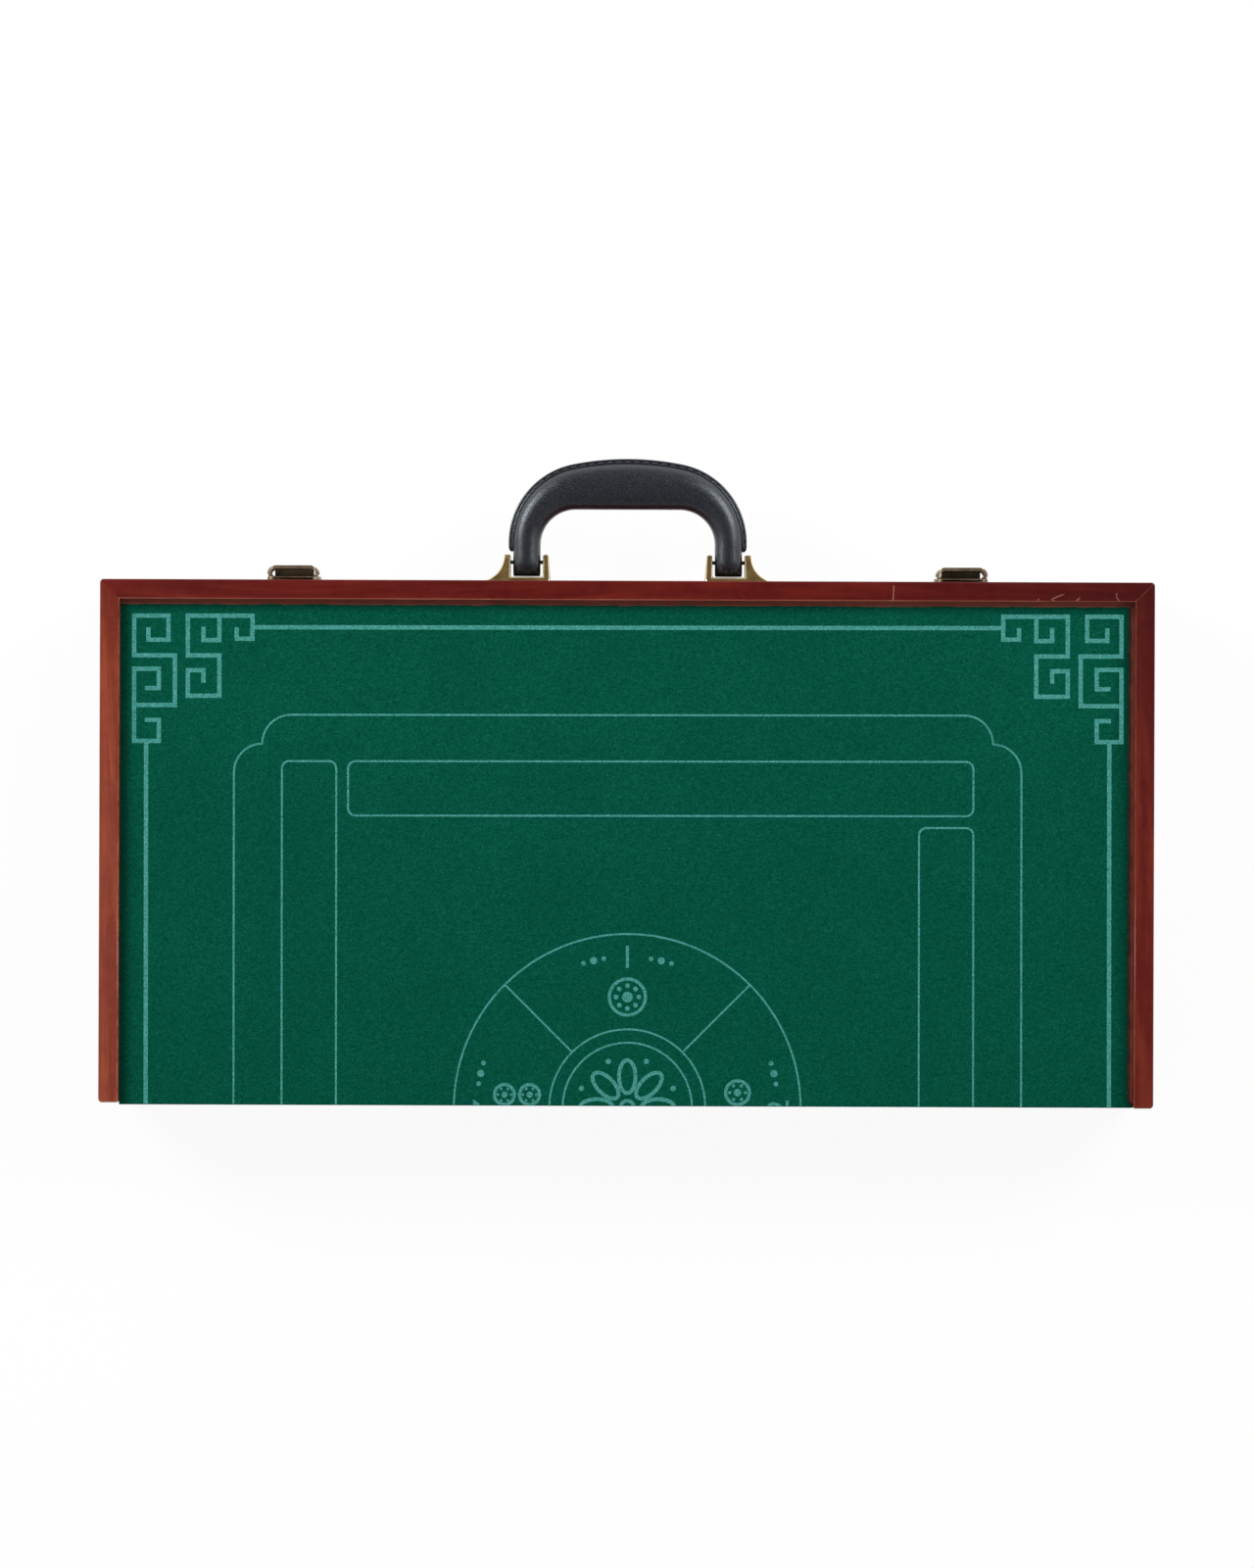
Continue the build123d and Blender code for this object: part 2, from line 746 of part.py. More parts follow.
def latch_base(name, x_latch):
    """Pressed base plate with the two ears that carry the lever's pin."""
    ear_outer = neck_width / 2 - cheek_thickness - latch_side_gap
    ear_inner = ear_outer - latch_ear_thickness
    z_low = level(1, base_plate_low)
    plate_height = base_plate_high - base_plate_low
    with BuildPart() as base:
        with BuildSketch(Plane.XZ.offset(-out(0))):
            with Locations((x_latch, z_low + plate_height / 2)):
                RectangleRounded(latch_width, plate_height, base_plate_corner_radius)
        extrude(amount=base_plate_rise)
        fillet(base.faces().sort_by(Axis.Y)[0].edges(), base_plate_skin)
        with BuildSketch(Plane.XY.offset(z_low)):
            with Locations((x_latch, out((base_plate_rise - base_plate_skin) / 2))):
                Rectangle(latch_width - 2 * base_plate_rim, base_plate_rise - base_plate_skin)
        extrude(amount=plate_height, mode=Mode.SUBTRACT)
        for x_ear in (x_latch - ear_outer, x_latch + ear_inner):
            with BuildSketch(Plane.YZ.offset(x_ear)):
                with Locations((out(lever_pivot_height), level(1, lever_pivot_level))):
                    Circle(latch_ear_radius)
                y_middle = out((lever_pivot_height + base_plate_rise - base_plate_skin) / 2)
                with Locations((y_middle, level(1, lever_pivot_level))):
                    Rectangle(lever_pivot_height - base_plate_rise + base_plate_skin, 2 * latch_ear_radius)
            extrude(amount=latch_ear_thickness)
        with BuildSketch(Plane.YZ.offset(x_latch - latch_width / 2)):
            with Locations((out(lever_pivot_height), level(1, lever_pivot_level))):
                Circle(lever_pin_radius + pin_clearance)
        extrude(amount=latch_width, mode=Mode.SUBTRACT)
        with BuildSketch(Plane.XZ.offset(-out(0))):
            with Locations(*[place for place in latch_screw_places() if abs(place[0] - x_latch) < latch_width]):
                Circle(latch_screw_radius + screw_clearance)
        extrude(amount=base_plate_rise, mode=Mode.SUBTRACT)
    keep(base, name)


def arch_outline(x_latch, width, top, edge):
    """Draw the section of the lever's bill in the current line: flat, curving down to both edges."""
    half_flat = bill_flat_width / 2
    drop = top - edge
    run = width / 2 - half_flat
    radius = (run**2 + drop**2) / (2 * drop)
    mid_angle = math.asin(run / radius) / 2
    mid_run = radius * math.sin(mid_angle)
    mid_drop = radius * (1 - math.cos(mid_angle))
    for s in (-1, 1):
        ThreePointArc(
            (x_latch + s * width / 2, out(edge)),
            (x_latch + s * (half_flat + mid_run), out(top - mid_drop)),
            (x_latch + s * half_flat, out(top)),
        )
    Line((x_latch - half_flat, out(top)), (x_latch + half_flat, out(top)))
    Line((x_latch - width / 2, out(edge)), (x_latch + width / 2, out(edge)))


def latch_lever(name, x_latch):
    """Lever: a neck with two cheeks on the pivot, a wide hollow bill to pull and a wall between."""
    z_pivot = level(1, lever_pivot_level)
    z_bill = level(1, bill_start)
    bill_length = bill_end - bill_start
    cheek_end = bill_start + cheek_thickness
    underside = lever_top - lever_skin
    with BuildPart() as lever:
        with BuildSketch(Plane.XY.offset(z_bill)):
            with BuildLine():
                arch_outline(x_latch, latch_width, lever_top, bill_edge_height)
            make_face()
        extrude(amount=bill_length)
        with BuildSketch(Plane.XY.offset(z_bill)):
            with BuildLine():
                arch_outline(x_latch, latch_width - 2 * lever_skin, underside, bill_edge_height)
            make_face()
        extrude(amount=bill_length, mode=Mode.SUBTRACT)
        with BuildSketch(Plane.XZ.offset(-out(0))):
            with Locations((x_latch, z_bill + bill_length / 2)):
                RectangleRounded(latch_width, bill_length, bill_corner_radius)
        extrude(amount=lever_top, mode=Mode.INTERSECT)
        with BuildSketch(Plane.XY.offset(z_pivot)):
            with Locations((x_latch, out(lever_top - lever_skin / 2))):
                Rectangle(neck_width, lever_skin)
        extrude(amount=cheek_end - lever_pivot_level)
        for x_cheek in (x_latch - neck_width / 2, x_latch + neck_width / 2 - cheek_thickness):
            with BuildSketch(Plane.YZ.offset(x_cheek)):
                with Locations((out(lever_pivot_height), z_pivot)):
                    Circle(cheek_end_radius)
                y_middle = out((lever_pivot_height - cheek_end_radius + underside) / 2)
                with Locations((y_middle, (z_pivot + level(1, cheek_end)) / 2)):
                    cheek_height = underside - lever_pivot_height + cheek_end_radius
                    Rectangle(cheek_height, cheek_end - lever_pivot_level)
            extrude(amount=cheek_thickness)
        with BuildSketch(Plane.XY.offset(z_bill)):
            with Locations((x_latch, out((lever_pivot_height - cheek_end_radius + underside) / 2))):
                Rectangle(bill_wall_width, underside - lever_pivot_height + cheek_end_radius)
        extrude(amount=cheek_thickness)
        pivots = (
            (lever_pivot_height, lever_pivot_level, lever_pin_radius + pin_clearance),
            (link_pivot_height, link_pivot_level, link_pin_radius + pin_clearance),
        )
        for height, pivot_level, radius in pivots:
            with BuildSketch(Plane.YZ.offset(x_latch - latch_width / 2)):
                with Locations((out(height), level(1, pivot_level))):
                    Circle(radius)
            extrude(amount=latch_width, mode=Mode.SUBTRACT)
    keep(lever, name)


def latch_link(name, x_latch):
    """Link: two arms on the lever's second pin, joined by the bar that draws on the catch."""
    arm_inner = neck_width / 2 + link_arm_gap
    arm_outer = arm_inner + link_arm_thickness
    z_pivot = level(1, link_pivot_level)
    z_bar = level(1, link_bar_level)
    y_pivot = out(link_pivot_height)
    y_bar = out(link_bar_height)
    with BuildPart() as link:
        for x_arm in (x_latch - arm_outer, x_latch + arm_inner):
            with BuildSketch(Plane.YZ.offset(x_arm)):
                with Locations((y_pivot, z_pivot), (y_bar, z_bar)):
                    Circle(link_eye_radius)
                with BuildLine():
                    Polyline(
                        (y_pivot - link_arm_half_width, z_pivot),
                        (y_pivot + link_arm_half_width, z_pivot),
                        (y_bar + link_arm_half_width, z_bar),
                        (y_bar - link_arm_half_width, z_bar),
                        close=True,
                    )
                make_face()
            extrude(amount=link_arm_thickness)
        with BuildSketch(Plane.YZ.offset(x_latch - arm_outer)):
            with Locations((y_bar, z_bar)):
                Circle(link_bar_radius)
        extrude(amount=2 * arm_outer)
        with BuildSketch(Plane.YZ.offset(x_latch - arm_outer)):
            with Locations((y_pivot, z_pivot)):
                Circle(link_pin_radius + pin_clearance)
        extrude(amount=2 * arm_outer, mode=Mode.SUBTRACT)
    keep(link, name)


def latch_pin(name, x_latch, height, pivot_level, radius, pin_length):
    """Pin of a latch joint, flush with the pieces that it passes through."""
    with BuildPart() as pin:
        with BuildSketch(Plane.YZ.offset(x_latch - pin_length / 2)):
            with Locations((out(height), level(1, pivot_level))):
                Circle(radius)
        extrude(amount=pin_length)
    keep(pin, name)


def latch_catch(name, x_latch):
    """Catch plate with a nose whose lower side holds the link's bar."""
    nose_low = link_bar_level + link_bar_radius + catch_bar_gap
    nose_high = nose_low + catch_nose_thickness
    nose_top = link_bar_height + link_bar_radius
    plate_height = nose_high - catch_low
    with BuildPart() as catch:
        with BuildSketch(Plane.XZ.offset(-out(0))):
            with Locations((x_latch, z_mate + (nose_high + catch_low) / 2)):
                RectangleRounded(catch_width, plate_height, catch_corner_radius)
        extrude(amount=catch_skin)
        with BuildSketch(Plane.YZ.offset(x_latch - catch_nose_width / 2)):
            with BuildLine():
                Polyline(
                    (out(0), z_mate + nose_high),
                    (out(0), z_mate + nose_low),
                    (out(nose_top), z_mate + nose_low),
                    (out(nose_top), z_mate + nose_low + catch_skin),
                    (out(catch_skin), z_mate + nose_high),
                    close=True,
                )
            make_face()
        extrude(amount=catch_nose_width)
        with BuildSketch(Plane.XZ.offset(-out(0))):
            with Locations(*[place for place in catch_screw_places() if abs(place[0] - x_latch) < catch_width]):
                Circle(latch_screw_radius + screw_clearance)
        extrude(amount=catch_skin, mode=Mode.SUBTRACT)
    keep(catch, name)


link_pin_length = neck_width + 2 * (link_arm_gap + link_arm_thickness)
for side_name, x_place in latch_places.items():
    latch_base(f"{side_name}_latch_base", x_place)
    latch_lever(f"{side_name}_latch_lever", x_place)
    latch_link(f"{side_name}_latch_link", x_place)
    latch_catch(f"{side_name}_latch_catch", x_place)
    latch_pin(
        f"{side_name}_latch_lever_pin",
        x_place,
        lever_pivot_height,
        lever_pivot_level,
        lever_pin_radius,
        neck_width,
    )
    latch_pin(
        f"{side_name}_latch_link_pin",
        x_place,
        link_pivot_height,
        link_pivot_level,
        link_pin_radius,
        link_pin_length,
    )
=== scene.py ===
"""Looks of a folding mahjong case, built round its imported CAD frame.

Lengths of the case are in millimetres until they reach a mesh or a shader, and metres from there.
"""

from __future__ import annotations

import json
import logging
import math
from dataclasses import dataclass, field
from enum import Enum
from typing import Callable, ClassVar, Iterable, Sequence

import bmesh
import bpy
from bpy.types import Material, Mesh, NodeSocket, Object
from mathutils import Matrix, Vector, noise
from mathutils.bvhtree import BVHTree

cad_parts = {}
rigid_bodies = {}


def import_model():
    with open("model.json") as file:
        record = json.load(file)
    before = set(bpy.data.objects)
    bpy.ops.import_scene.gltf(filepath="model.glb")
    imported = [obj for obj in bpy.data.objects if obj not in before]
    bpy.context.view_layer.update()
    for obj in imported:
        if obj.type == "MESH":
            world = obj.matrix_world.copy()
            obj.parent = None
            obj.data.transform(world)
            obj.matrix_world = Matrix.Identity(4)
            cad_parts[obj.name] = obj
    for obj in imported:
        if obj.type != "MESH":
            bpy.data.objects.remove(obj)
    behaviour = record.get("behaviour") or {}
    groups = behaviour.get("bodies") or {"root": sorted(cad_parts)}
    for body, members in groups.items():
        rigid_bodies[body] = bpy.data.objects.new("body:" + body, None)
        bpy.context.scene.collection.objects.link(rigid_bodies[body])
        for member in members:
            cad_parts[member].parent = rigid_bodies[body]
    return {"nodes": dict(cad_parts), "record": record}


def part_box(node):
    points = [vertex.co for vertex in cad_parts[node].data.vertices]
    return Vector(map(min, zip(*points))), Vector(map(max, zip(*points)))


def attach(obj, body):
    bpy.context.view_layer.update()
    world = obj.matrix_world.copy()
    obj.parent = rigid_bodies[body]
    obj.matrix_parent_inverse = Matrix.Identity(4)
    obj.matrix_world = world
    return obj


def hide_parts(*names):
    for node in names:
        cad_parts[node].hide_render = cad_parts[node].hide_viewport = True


log = logging.getLogger("mahjong_case")

MM = 0.001
CASE_DEPTH = 334.0
CASE_HEIGHT = 90.0
RAIL_THICKNESS = 12.5
PIN_STANDOFF = 12.65

# Places along y: the handle rail's two faces, the hinge edge and the handle's pins.
FRONT = -128.875
INNER_FRONT = FRONT + RAIL_THICKNESS
FOLD = FRONT + CASE_DEPTH
HANDLE_PIN = FRONT - PIN_STANDOFF

MIRROR = Matrix(((-1.0, 0.0), (0.0, 1.0)))

Point2 = tuple[float, float]
Point3 = tuple[float, float, float]
Colour = tuple[float, float, float, float]
Face = tuple[int, ...]

ORIGIN: Point2 = (0.0, 0.0)


class Grain(Enum):
    """The axis that a board's grain runs along."""

    LONG = "x"
    SHORT = "y"


class Half(Enum):
    """The two halves of the case, by the body and the name prefix of their nodes."""

    LOWER = "lower"
    UPPER = "upper"

    @property
    def body(self) -> str:
        """The CAD body of this half."""
        return f"{self.value}_tray"

    def height(self, z: float) -> float:
        """A height given for the upper half, mirrored about the mouths for the lower one."""
        return z if self is Half.UPPER else CASE_HEIGHT - z


def paint(red: int, green: int, blue: int) -> Colour:
    """Turn a colour as seen on a screen into linear values.

    Args:
        red: Red, 0 to 255.
        green: Green, 0 to 255.
        blue: Blue, 0 to 255.

    Returns:
        The linear colour with full alpha.
    """

    def linear(value: int) -> float:
        """One channel from screen to linear."""
        share = value / 255.0
        return share / 12.92 if share <= 0.04045 else ((share + 0.055) / 1.055) ** 2.4

    return (linear(red), linear(green), linear(blue), 1.0)


def polar(radius: float, turn: float, centre: Point2 = ORIGIN) -> Point2:
    """The point at a radius and an angle in radians about a centre."""
    return (centre[0] + radius * math.cos(turn), centre[1] + radius * math.sin(turn))


def rotated(point: Point2, turn: float, centre: Point2 = ORIGIN) -> Point2:
    """A point turned about the origin by an angle in radians, then moved to a centre."""
    c, s = math.cos(turn), math.sin(turn)
    return (centre[0] + point[0] * c - point[1] * s, centre[1] + point[0] * s + point[1] * c)


class ShaderGraph:
    """A material's nodes, with short ways to add and join them."""

    def __init__(self, name: str) -> None:
        """Start a material with one Principled shader and the piece's own coordinates.

        Args:
            name: The material's name.
        """
        self.material = bpy.data.materials.new(name)
        self.material.use_nodes = True
        self.tree = self.material.node_tree
        self.shader = self.tree.nodes["Principled BSDF"]
        self.place = self.node("ShaderNodeTexCoord", "Object", {})

    def node(self, kind: str, output: str | int, inputs: dict[str | int, object],
             **settings: object) -> NodeSocket:
        """Add a node.

        Args:
            kind: The node's type.
            output: The output to return.
            inputs: What each input takes, a socket or a plain value.
            **settings: Properties of the node to set.

        Returns:
            The chosen output.
        """
        made = self.tree.nodes.new(kind)
        for key, value in settings.items():
            setattr(made, key, value)
        for key, value in inputs.items():
            self.join(value, made.inputs[key])
        return made.outputs[output]

    def join(self, value: object, socket: NodeSocket) -> None:
        """Link a socket to another, or set a plain value on it.

        Args:
            value: An output socket, a number or a colour.
            socket: The input that takes it.
        """
        if isinstance(value, NodeSocket):
            self.tree.links.new(value, socket)
        else:
            socket.default_value = value

    def stretched(self, scale: Point3, turn: Point3 = (0.0, 0.0, 0.0)) -> NodeSocket:
        """The piece's coordinates, turned and stretched.

        Args:
            scale: Factor along each axis.
            turn: Rotation about each axis in degrees.

        Returns:
            The vector output.
        """
        angles = [math.radians(a) for a in turn]
        turned = self.node("ShaderNodeMapping", "Vector",
                           {"Vector": self.place, "Rotation": angles})
        return self.node("ShaderNodeMapping", "Vector", {"Vector": turned, "Scale": scale})

    def along(self, axis: str) -> NodeSocket:
        """One coordinate, X, Y or Z, of the piece's own place, in metres."""
        return self.node("ShaderNodeSeparateXYZ", axis, {0: self.place})

    def noise(
        self, scale: float, detail: float = 2.0, roughness: float = 0.5,
        distortion: float = 0.0, vector: NodeSocket | None = None,
    ) -> NodeSocket:
        """Add a noise texture.

        Args:
            scale: Features per metre.
            detail: Octaves.
            roughness: Weight of the finer octaves.
            distortion: How far the texture is warped.
            vector: Coordinates, the piece's own if none are given.

        Returns:
            The factor output.
        """
        return self.node("ShaderNodeTexNoise", "Fac", {
            "Vector": vector or self.place, "Scale": scale, "Detail": detail,
            "Roughness": roughness, "Distortion": distortion,
        })

    def cells(self, scale: float, output: str = "Distance", feature: str = "F1",
              vector: NodeSocket | None = None) -> NodeSocket:
        """Add a Voronoi texture.

        Args:
            scale: Cells per metre.
            output: The output to return.
            feature: The feature that it measures.
            vector: Coordinates, the piece's own if none are given.

        Returns:
            The chosen output.
        """
        inputs = {"Vector": vector or self.place, "Scale": scale}
        return self.node("ShaderNodeTexVoronoi", output, inputs, feature=feature)

    def fit(self, value: NodeSocket, low: float, high: float,
            to_low: float = 0.0, to_high: float = 1.0) -> NodeSocket:
        """Map a range to another and clamp it.

        Args:
            value: The value to map.
            low: Start of its range.
            high: End of its range.
            to_low: What the start becomes.
            to_high: What the end becomes.

        Returns:
            The mapped value.
        """
        return self.node("ShaderNodeMapRange", "Result", {
            "Value": value, "From Min": low, "From Max": high, "To Min": to_low,
            "To Max": to_high,
        })

    def math(self, operation: str, first: object, second: object = 0.0) -> NodeSocket:
        """Do arithmetic on two values.

        Args:
            operation: The Math node's operation.
            first: A socket or number.
            second: A socket or number.

        Returns:
            The result.
        """
        return self.node("ShaderNodeMath", 0, {0: first, 1: second}, operation=operation)

    def mix(self, factor: object, first: object, second: object,
            blend: str = "MIX") -> NodeSocket:
        """Mix two colours.

        Args:
            factor: A socket or number from 0 to 1.
            first: The colour at 0.
            second: The colour at 1.
            blend: How they are mixed.

        Returns:
            The mixed colour.
        """
        return self.node("ShaderNodeMix", 2, {0: factor, 6: first, 7: second},
                         data_type="RGBA", blend_type=blend)

    def relief(self, height: NodeSocket, depth: float, strength: float = 1.0) -> None:
        """Give the surface a fine relief.

        Args:
            height: Height from 0 to 1.
            depth: What 1 stands for, in millimetres.
            strength: Share of the effect.
        """
        inputs = {"Distance": depth * MM, "Strength": strength, "Height": height}
        before = self.shader.inputs["Normal"].links
        if before:
            inputs["Normal"] = before[0].from_socket
        self.join(self.node("ShaderNodeBump", "Normal", inputs), self.shader.inputs["Normal"])

    def finish(self, **values: object) -> Material:
        """Set the shader's inputs.

        Args:
            **values: Inputs by name, with _ for a space.

        Returns:
            The finished material.
        """
        for key, value in values.items():
            self.join(value, self.shader.inputs[key.replace("_", " ")])
        return self.material


@dataclass(frozen=True)
class LacqueredWood:
    """Red-brown stained wood under a semi-gloss lacquer, for one board, darkened towards one end by
    painted shade.
    """

    name: str
    grain: Grain
    light: Colour
    dark: Colour
    deep: Colour
    dark_end: float
    light_end: float
    seed: float = 0.0
    scratches: tuple[tuple[float, float, float, float, float], ...] = ()

    # A scratch, in millimetres: how far it wanders, where it fades to either side and at its ends.
    WANDER: ClassVar[float] = 0.25
    SCRATCH_RIM: ClassVar[float] = 0.42
    SCRATCH_CORE: ClassVar[float] = 0.18
    SCRATCH_END: ClassVar[float] = 0.6
    PORE: ClassVar[Colour] = paint(38, 8, 8)
    SCRATCH: ClassVar[Colour] = paint(206, 150, 136)

    def scratched(self, graph: ShaderGraph) -> NodeSocket:
        """Where the lacquer is scratched.

        Each scratch is the x and y of both its ends, with y rising, and its strength.

        Args:
            graph: The material that it is for.

        Returns:
            The strength at each place.
        """
        x, y = graph.along("X"), graph.along("Y")
        wander = graph.fit(graph.noise(300.0), 0.3, 0.7, -self.WANDER * MM, self.WANDER * MM)
        mark: object = 0.0
        for x_low, low, x_high, high, strength in self.scratches:
            lean = (x_high - x_low) / (high - low)
            line = graph.math("ADD", graph.math("MULTIPLY", y, lean), (x_low - lean * low) * MM)
            gap = graph.math("ADD", graph.math("SUBTRACT", x, line), wander)
            gap = graph.math("MULTIPLY", graph.math("ABSOLUTE", gap), 1.0 / math.hypot(1.0, lean))
            part = graph.fit(gap, self.SCRATCH_RIM * MM, self.SCRATCH_CORE * MM, 0.0, strength)
            for end, inside in ((low, low + self.SCRATCH_END), (high, high - self.SCRATCH_END)):
                part = graph.math("MULTIPLY", part, graph.fit(y, end * MM, inside * MM))
            mark = graph.math("MAXIMUM", mark, part)
        return mark

    def build(self) -> Material:
        """Make the material.

        Returns:
            The material.
        """
        graph = ShaderGraph(self.name)
        marks = self.scratched(graph) if self.scratches else None
        long = self.grain is Grain.LONG
        # Painted shade: towards its shaded end the board turns to the deep colour, standing in for
        # the lacquer's uneven reflection of the lamps.
        shade_ramp = graph.fit(graph.along("X" if long else "Y"), self.dark_end * MM,
                          self.light_end * MM)
        graph.place = graph.node("ShaderNodeMapping", "Vector", {
            "Vector": graph.place, "Location": (self.seed, self.seed * 0.7, self.seed * 1.3),
        })
        figure = (5.0, 55.0, 55.0) if long else (55.0, 5.0, 55.0)
        pores = (90.0, 1800.0, 1800.0) if long else (1800.0, 90.0, 1800.0)
        broad = graph.noise(1.0, 4.0, 0.6, 2.2, graph.stretched(figure))
        cloudy = graph.noise(30.0, 4.0, 0.6, 1.4)
        blotch = graph.noise(110.0, 3.0, 0.6, 0.8)
        pore = graph.noise(1.0, 2.0, 0.5, 0.3, graph.stretched(pores))
        tone = graph.mix(graph.fit(broad, 0.4, 0.62), self.dark, self.light)
        tone = graph.mix(graph.fit(cloudy, 0.42, 0.66, 0.0, 0.55), tone, self.dark)
        tone = graph.mix(graph.fit(blotch, 0.4, 0.75, 0.0, 0.3), tone, self.light)
        tone = graph.mix(graph.fit(shade_ramp, 0.0, 1.0, 0.75, 0.0), tone, self.deep)
        tone = graph.mix(graph.fit(pore, 0.6, 0.75, 0.0, 0.16), tone, self.PORE)
        if marks:
            tone = graph.mix(marks, tone, self.SCRATCH)
        graph.relief(pore, 0.015, 0.3)
        graph.relief(graph.noise(90.0, 2.0, 0.5), 0.06, 0.25)
        return graph.finish(
            Base_Color=tone, Roughness=graph.fit(blotch, 0.3, 0.75, 0.42, 0.56),
            Specular_IOR_Level=0.1, Coat_Weight=0.45, Coat_Roughness=0.16,
        )


@dataclass(frozen=True)
class PlainWood:
    """Stained wood with hardly any gloss; it may be darkened along the left rail by painted shade.
    """

    name: str
    light: Colour
    dark: Colour
    pooled: bool = False

    # Where the painted shade starts and where it is full, along x, and its colour.
    POOL: ClassVar[Point2] = (-312.0, -321.5)
    POOLED: ClassVar[Colour] = paint(44, 10, 10)

    def build(self) -> Material:
        """Make the material.

        Returns:
            The material.
        """
        graph = ShaderGraph(self.name)
        broad = graph.noise(1.0, 4.0, 0.55, 1.2, graph.stretched((4.0, 45.0, 45.0)))
        fibre = graph.noise(1.0, 3.0, 0.6, 0.2, graph.stretched((60.0, 1400.0, 1400.0)))
        tone = graph.mix(graph.fit(broad, 0.35, 0.68), self.dark, self.light)
        tone = graph.mix(graph.fit(fibre, 0.5, 0.8, 0.0, 0.4), tone, self.dark)
        # Painted shade: the panel is darkened towards the left rail.
        if self.pooled:
            side = graph.fit(graph.along("X"), *(x * MM for x in self.POOL), 0.0, 0.45)
            tone = graph.mix(side, tone, self.POOLED)
        graph.relief(fibre, 0.05, 0.5)
        return graph.finish(Base_Color=tone, Roughness=graph.fit(fibre, 0.3, 0.7, 0.5, 0.64))


@dataclass(frozen=True)
class FeltCloth:
    """Pressed felt: a mat of short fibres, mottled, with a few light ones; along the rails it may
    be darkened by painted shade.
    """

    name: str
    body: Colour
    deep: Colour
    light: Colour
    lint: float = 0.5
    pressed: bool = True

    # Where the painted shade along the rails starts and where it is full: along x on both sides,
    # and from the rail.
    RIGHT_RIM: ClassVar[Point2] = (314.5, 322.2)
    LEFT_RIM: ClassVar[Point2] = (-308.0, -318.5)
    FRONT_RIM: ClassVar[Point2] = (9.0, 3.2)
    RIM: ClassVar[Colour] = paint(0, 26, 20)
    LINT: ClassVar[Colour] = paint(96, 150, 130)

    def colour(self, graph: ShaderGraph) -> NodeSocket:
        """The felt's colour.

        Args:
            graph: The material that it is for.

        Returns:
            The colour output.
        """
        mottle = graph.noise(700.0, 4.0, 0.7, 0.6)
        tone = graph.mix(graph.fit(mottle, 0.36, 0.62), self.deep, self.body)
        for turn in (20.0, 75.0, 130.0, 165.0):
            strand = graph.noise(1.0, 2.0, 0.55, 0.8,
                                 graph.stretched((380.0, 2100.0, 600.0), (0.0, 0.0, turn)))
            tone = graph.mix(graph.fit(strand, 0.57, 0.76, 0.0, 0.5), tone, self.light)
        patches = graph.noise(16.0, 4.0, 0.6)
        tone = graph.mix(graph.fit(patches, 0.38, 0.68, 0.0, 0.2), tone, self.deep)
        # Painted shade: the felt is darkened near the rails, where they shade it.
        if self.pressed:
            across = graph.along("X")
            sides = graph.math(
                "MAXIMUM", *(graph.fit(across, start * MM, full * MM)
                             for start, full in (self.RIGHT_RIM, self.LEFT_RIM)))
            front = graph.fit(graph.along("Y"), *((INNER_FRONT + y) * MM for y in self.FRONT_RIM))
            rim = graph.math("MAXIMUM", sides, front)
            tone = graph.mix(graph.math("MULTIPLY", rim, 0.42), tone, self.RIM)
        specks = graph.cells(60.0, "Distance")
        fluff = graph.math("MULTIPLY", graph.fit(specks, 0.03, 0.012),
                           graph.fit(graph.noise(40.0), 0.54, 0.64, 0.0, self.lint))
        return graph.mix(fluff, tone, self.LINT)

    def build(self) -> Material:
        """Make the material.

        Returns:
            The material.
        """
        graph = ShaderGraph(self.name)
        tone = self.colour(graph)
        graph.relief(graph.noise(900.0, 4.0, 0.7, 0.8), 0.22, 0.6)
        graph.relief(graph.noise(60.0, 3.0, 0.5), 0.25, 0.2)
        return graph.finish(
            Base_Color=tone, Roughness=0.97, Specular_IOR_Level=0.04, Sheen_Weight=0.05,
            Sheen_Roughness=0.6, Sheen_Tint=self.light,
        )


@dataclass(frozen=True)
class PrintInk:
    """Pale ink on the tips of the felt's fibres, with the green showing between them."""

    name: str
    ink: Colour
    bright: Colour
    felt: FeltCloth

    def build(self) -> Material:
        """Make the material.

        Returns:
            The material.
        """
        graph = ShaderGraph(self.name)
        grain = graph.noise(950.0, 3.0, 0.7, 0.6)
        worn = graph.noise(260.0, 3.0, 0.6)
        tips = graph.noise(1300.0, 2.0, 0.6)
        under = graph.mix(0.6, self.felt.body, self.felt.light)
        tone = graph.mix(graph.fit(tips, 0.5, 0.68, 0.0, 0.75), self.ink, self.bright)
        tone = graph.mix(graph.fit(grain, 0.5, 0.64, 0.0, 0.95), tone, under)
        tone = graph.mix(graph.fit(worn, 0.5, 0.75, 0.0, 0.3), tone, under)
        graph.relief(graph.noise(900.0, 4.0, 0.7, 0.8), 0.2, 0.6)
        return graph.finish(Base_Color=tone, Roughness=0.95, Specular_IOR_Level=0.05)


@dataclass(frozen=True)
class AntiqueBrass:
    """Plated brass, browned on its faces or rubbed bright on its edges; the bright edge finish is
    also a painted highlight.
    """

    name: str
    face: Colour
    shade: Colour
    roughness: float

    def build(self) -> Material:
        """Make the material.

        Returns:
            The material.
        """
        graph = ShaderGraph(self.name)
        cast = graph.noise(240.0, 4.0, 0.6, 0.4)
        tarnish = graph.noise(70.0, 4.0, 0.6, 0.8)
        tone = graph.mix(graph.fit(tarnish, 0.38, 0.68), self.face, self.shade)
        tone = graph.mix(graph.fit(graph.noise(900.0, 3.0, 0.6), 0.55, 0.8, 0.0, 0.5), tone,
                         self.shade)
        graph.relief(cast, 0.05, 0.45)
        return graph.finish(
            Base_Color=tone, Metallic=1.0,
            Roughness=graph.fit(cast, 0.3, 0.7, self.roughness - 0.06, self.roughness + 0.1),
        )


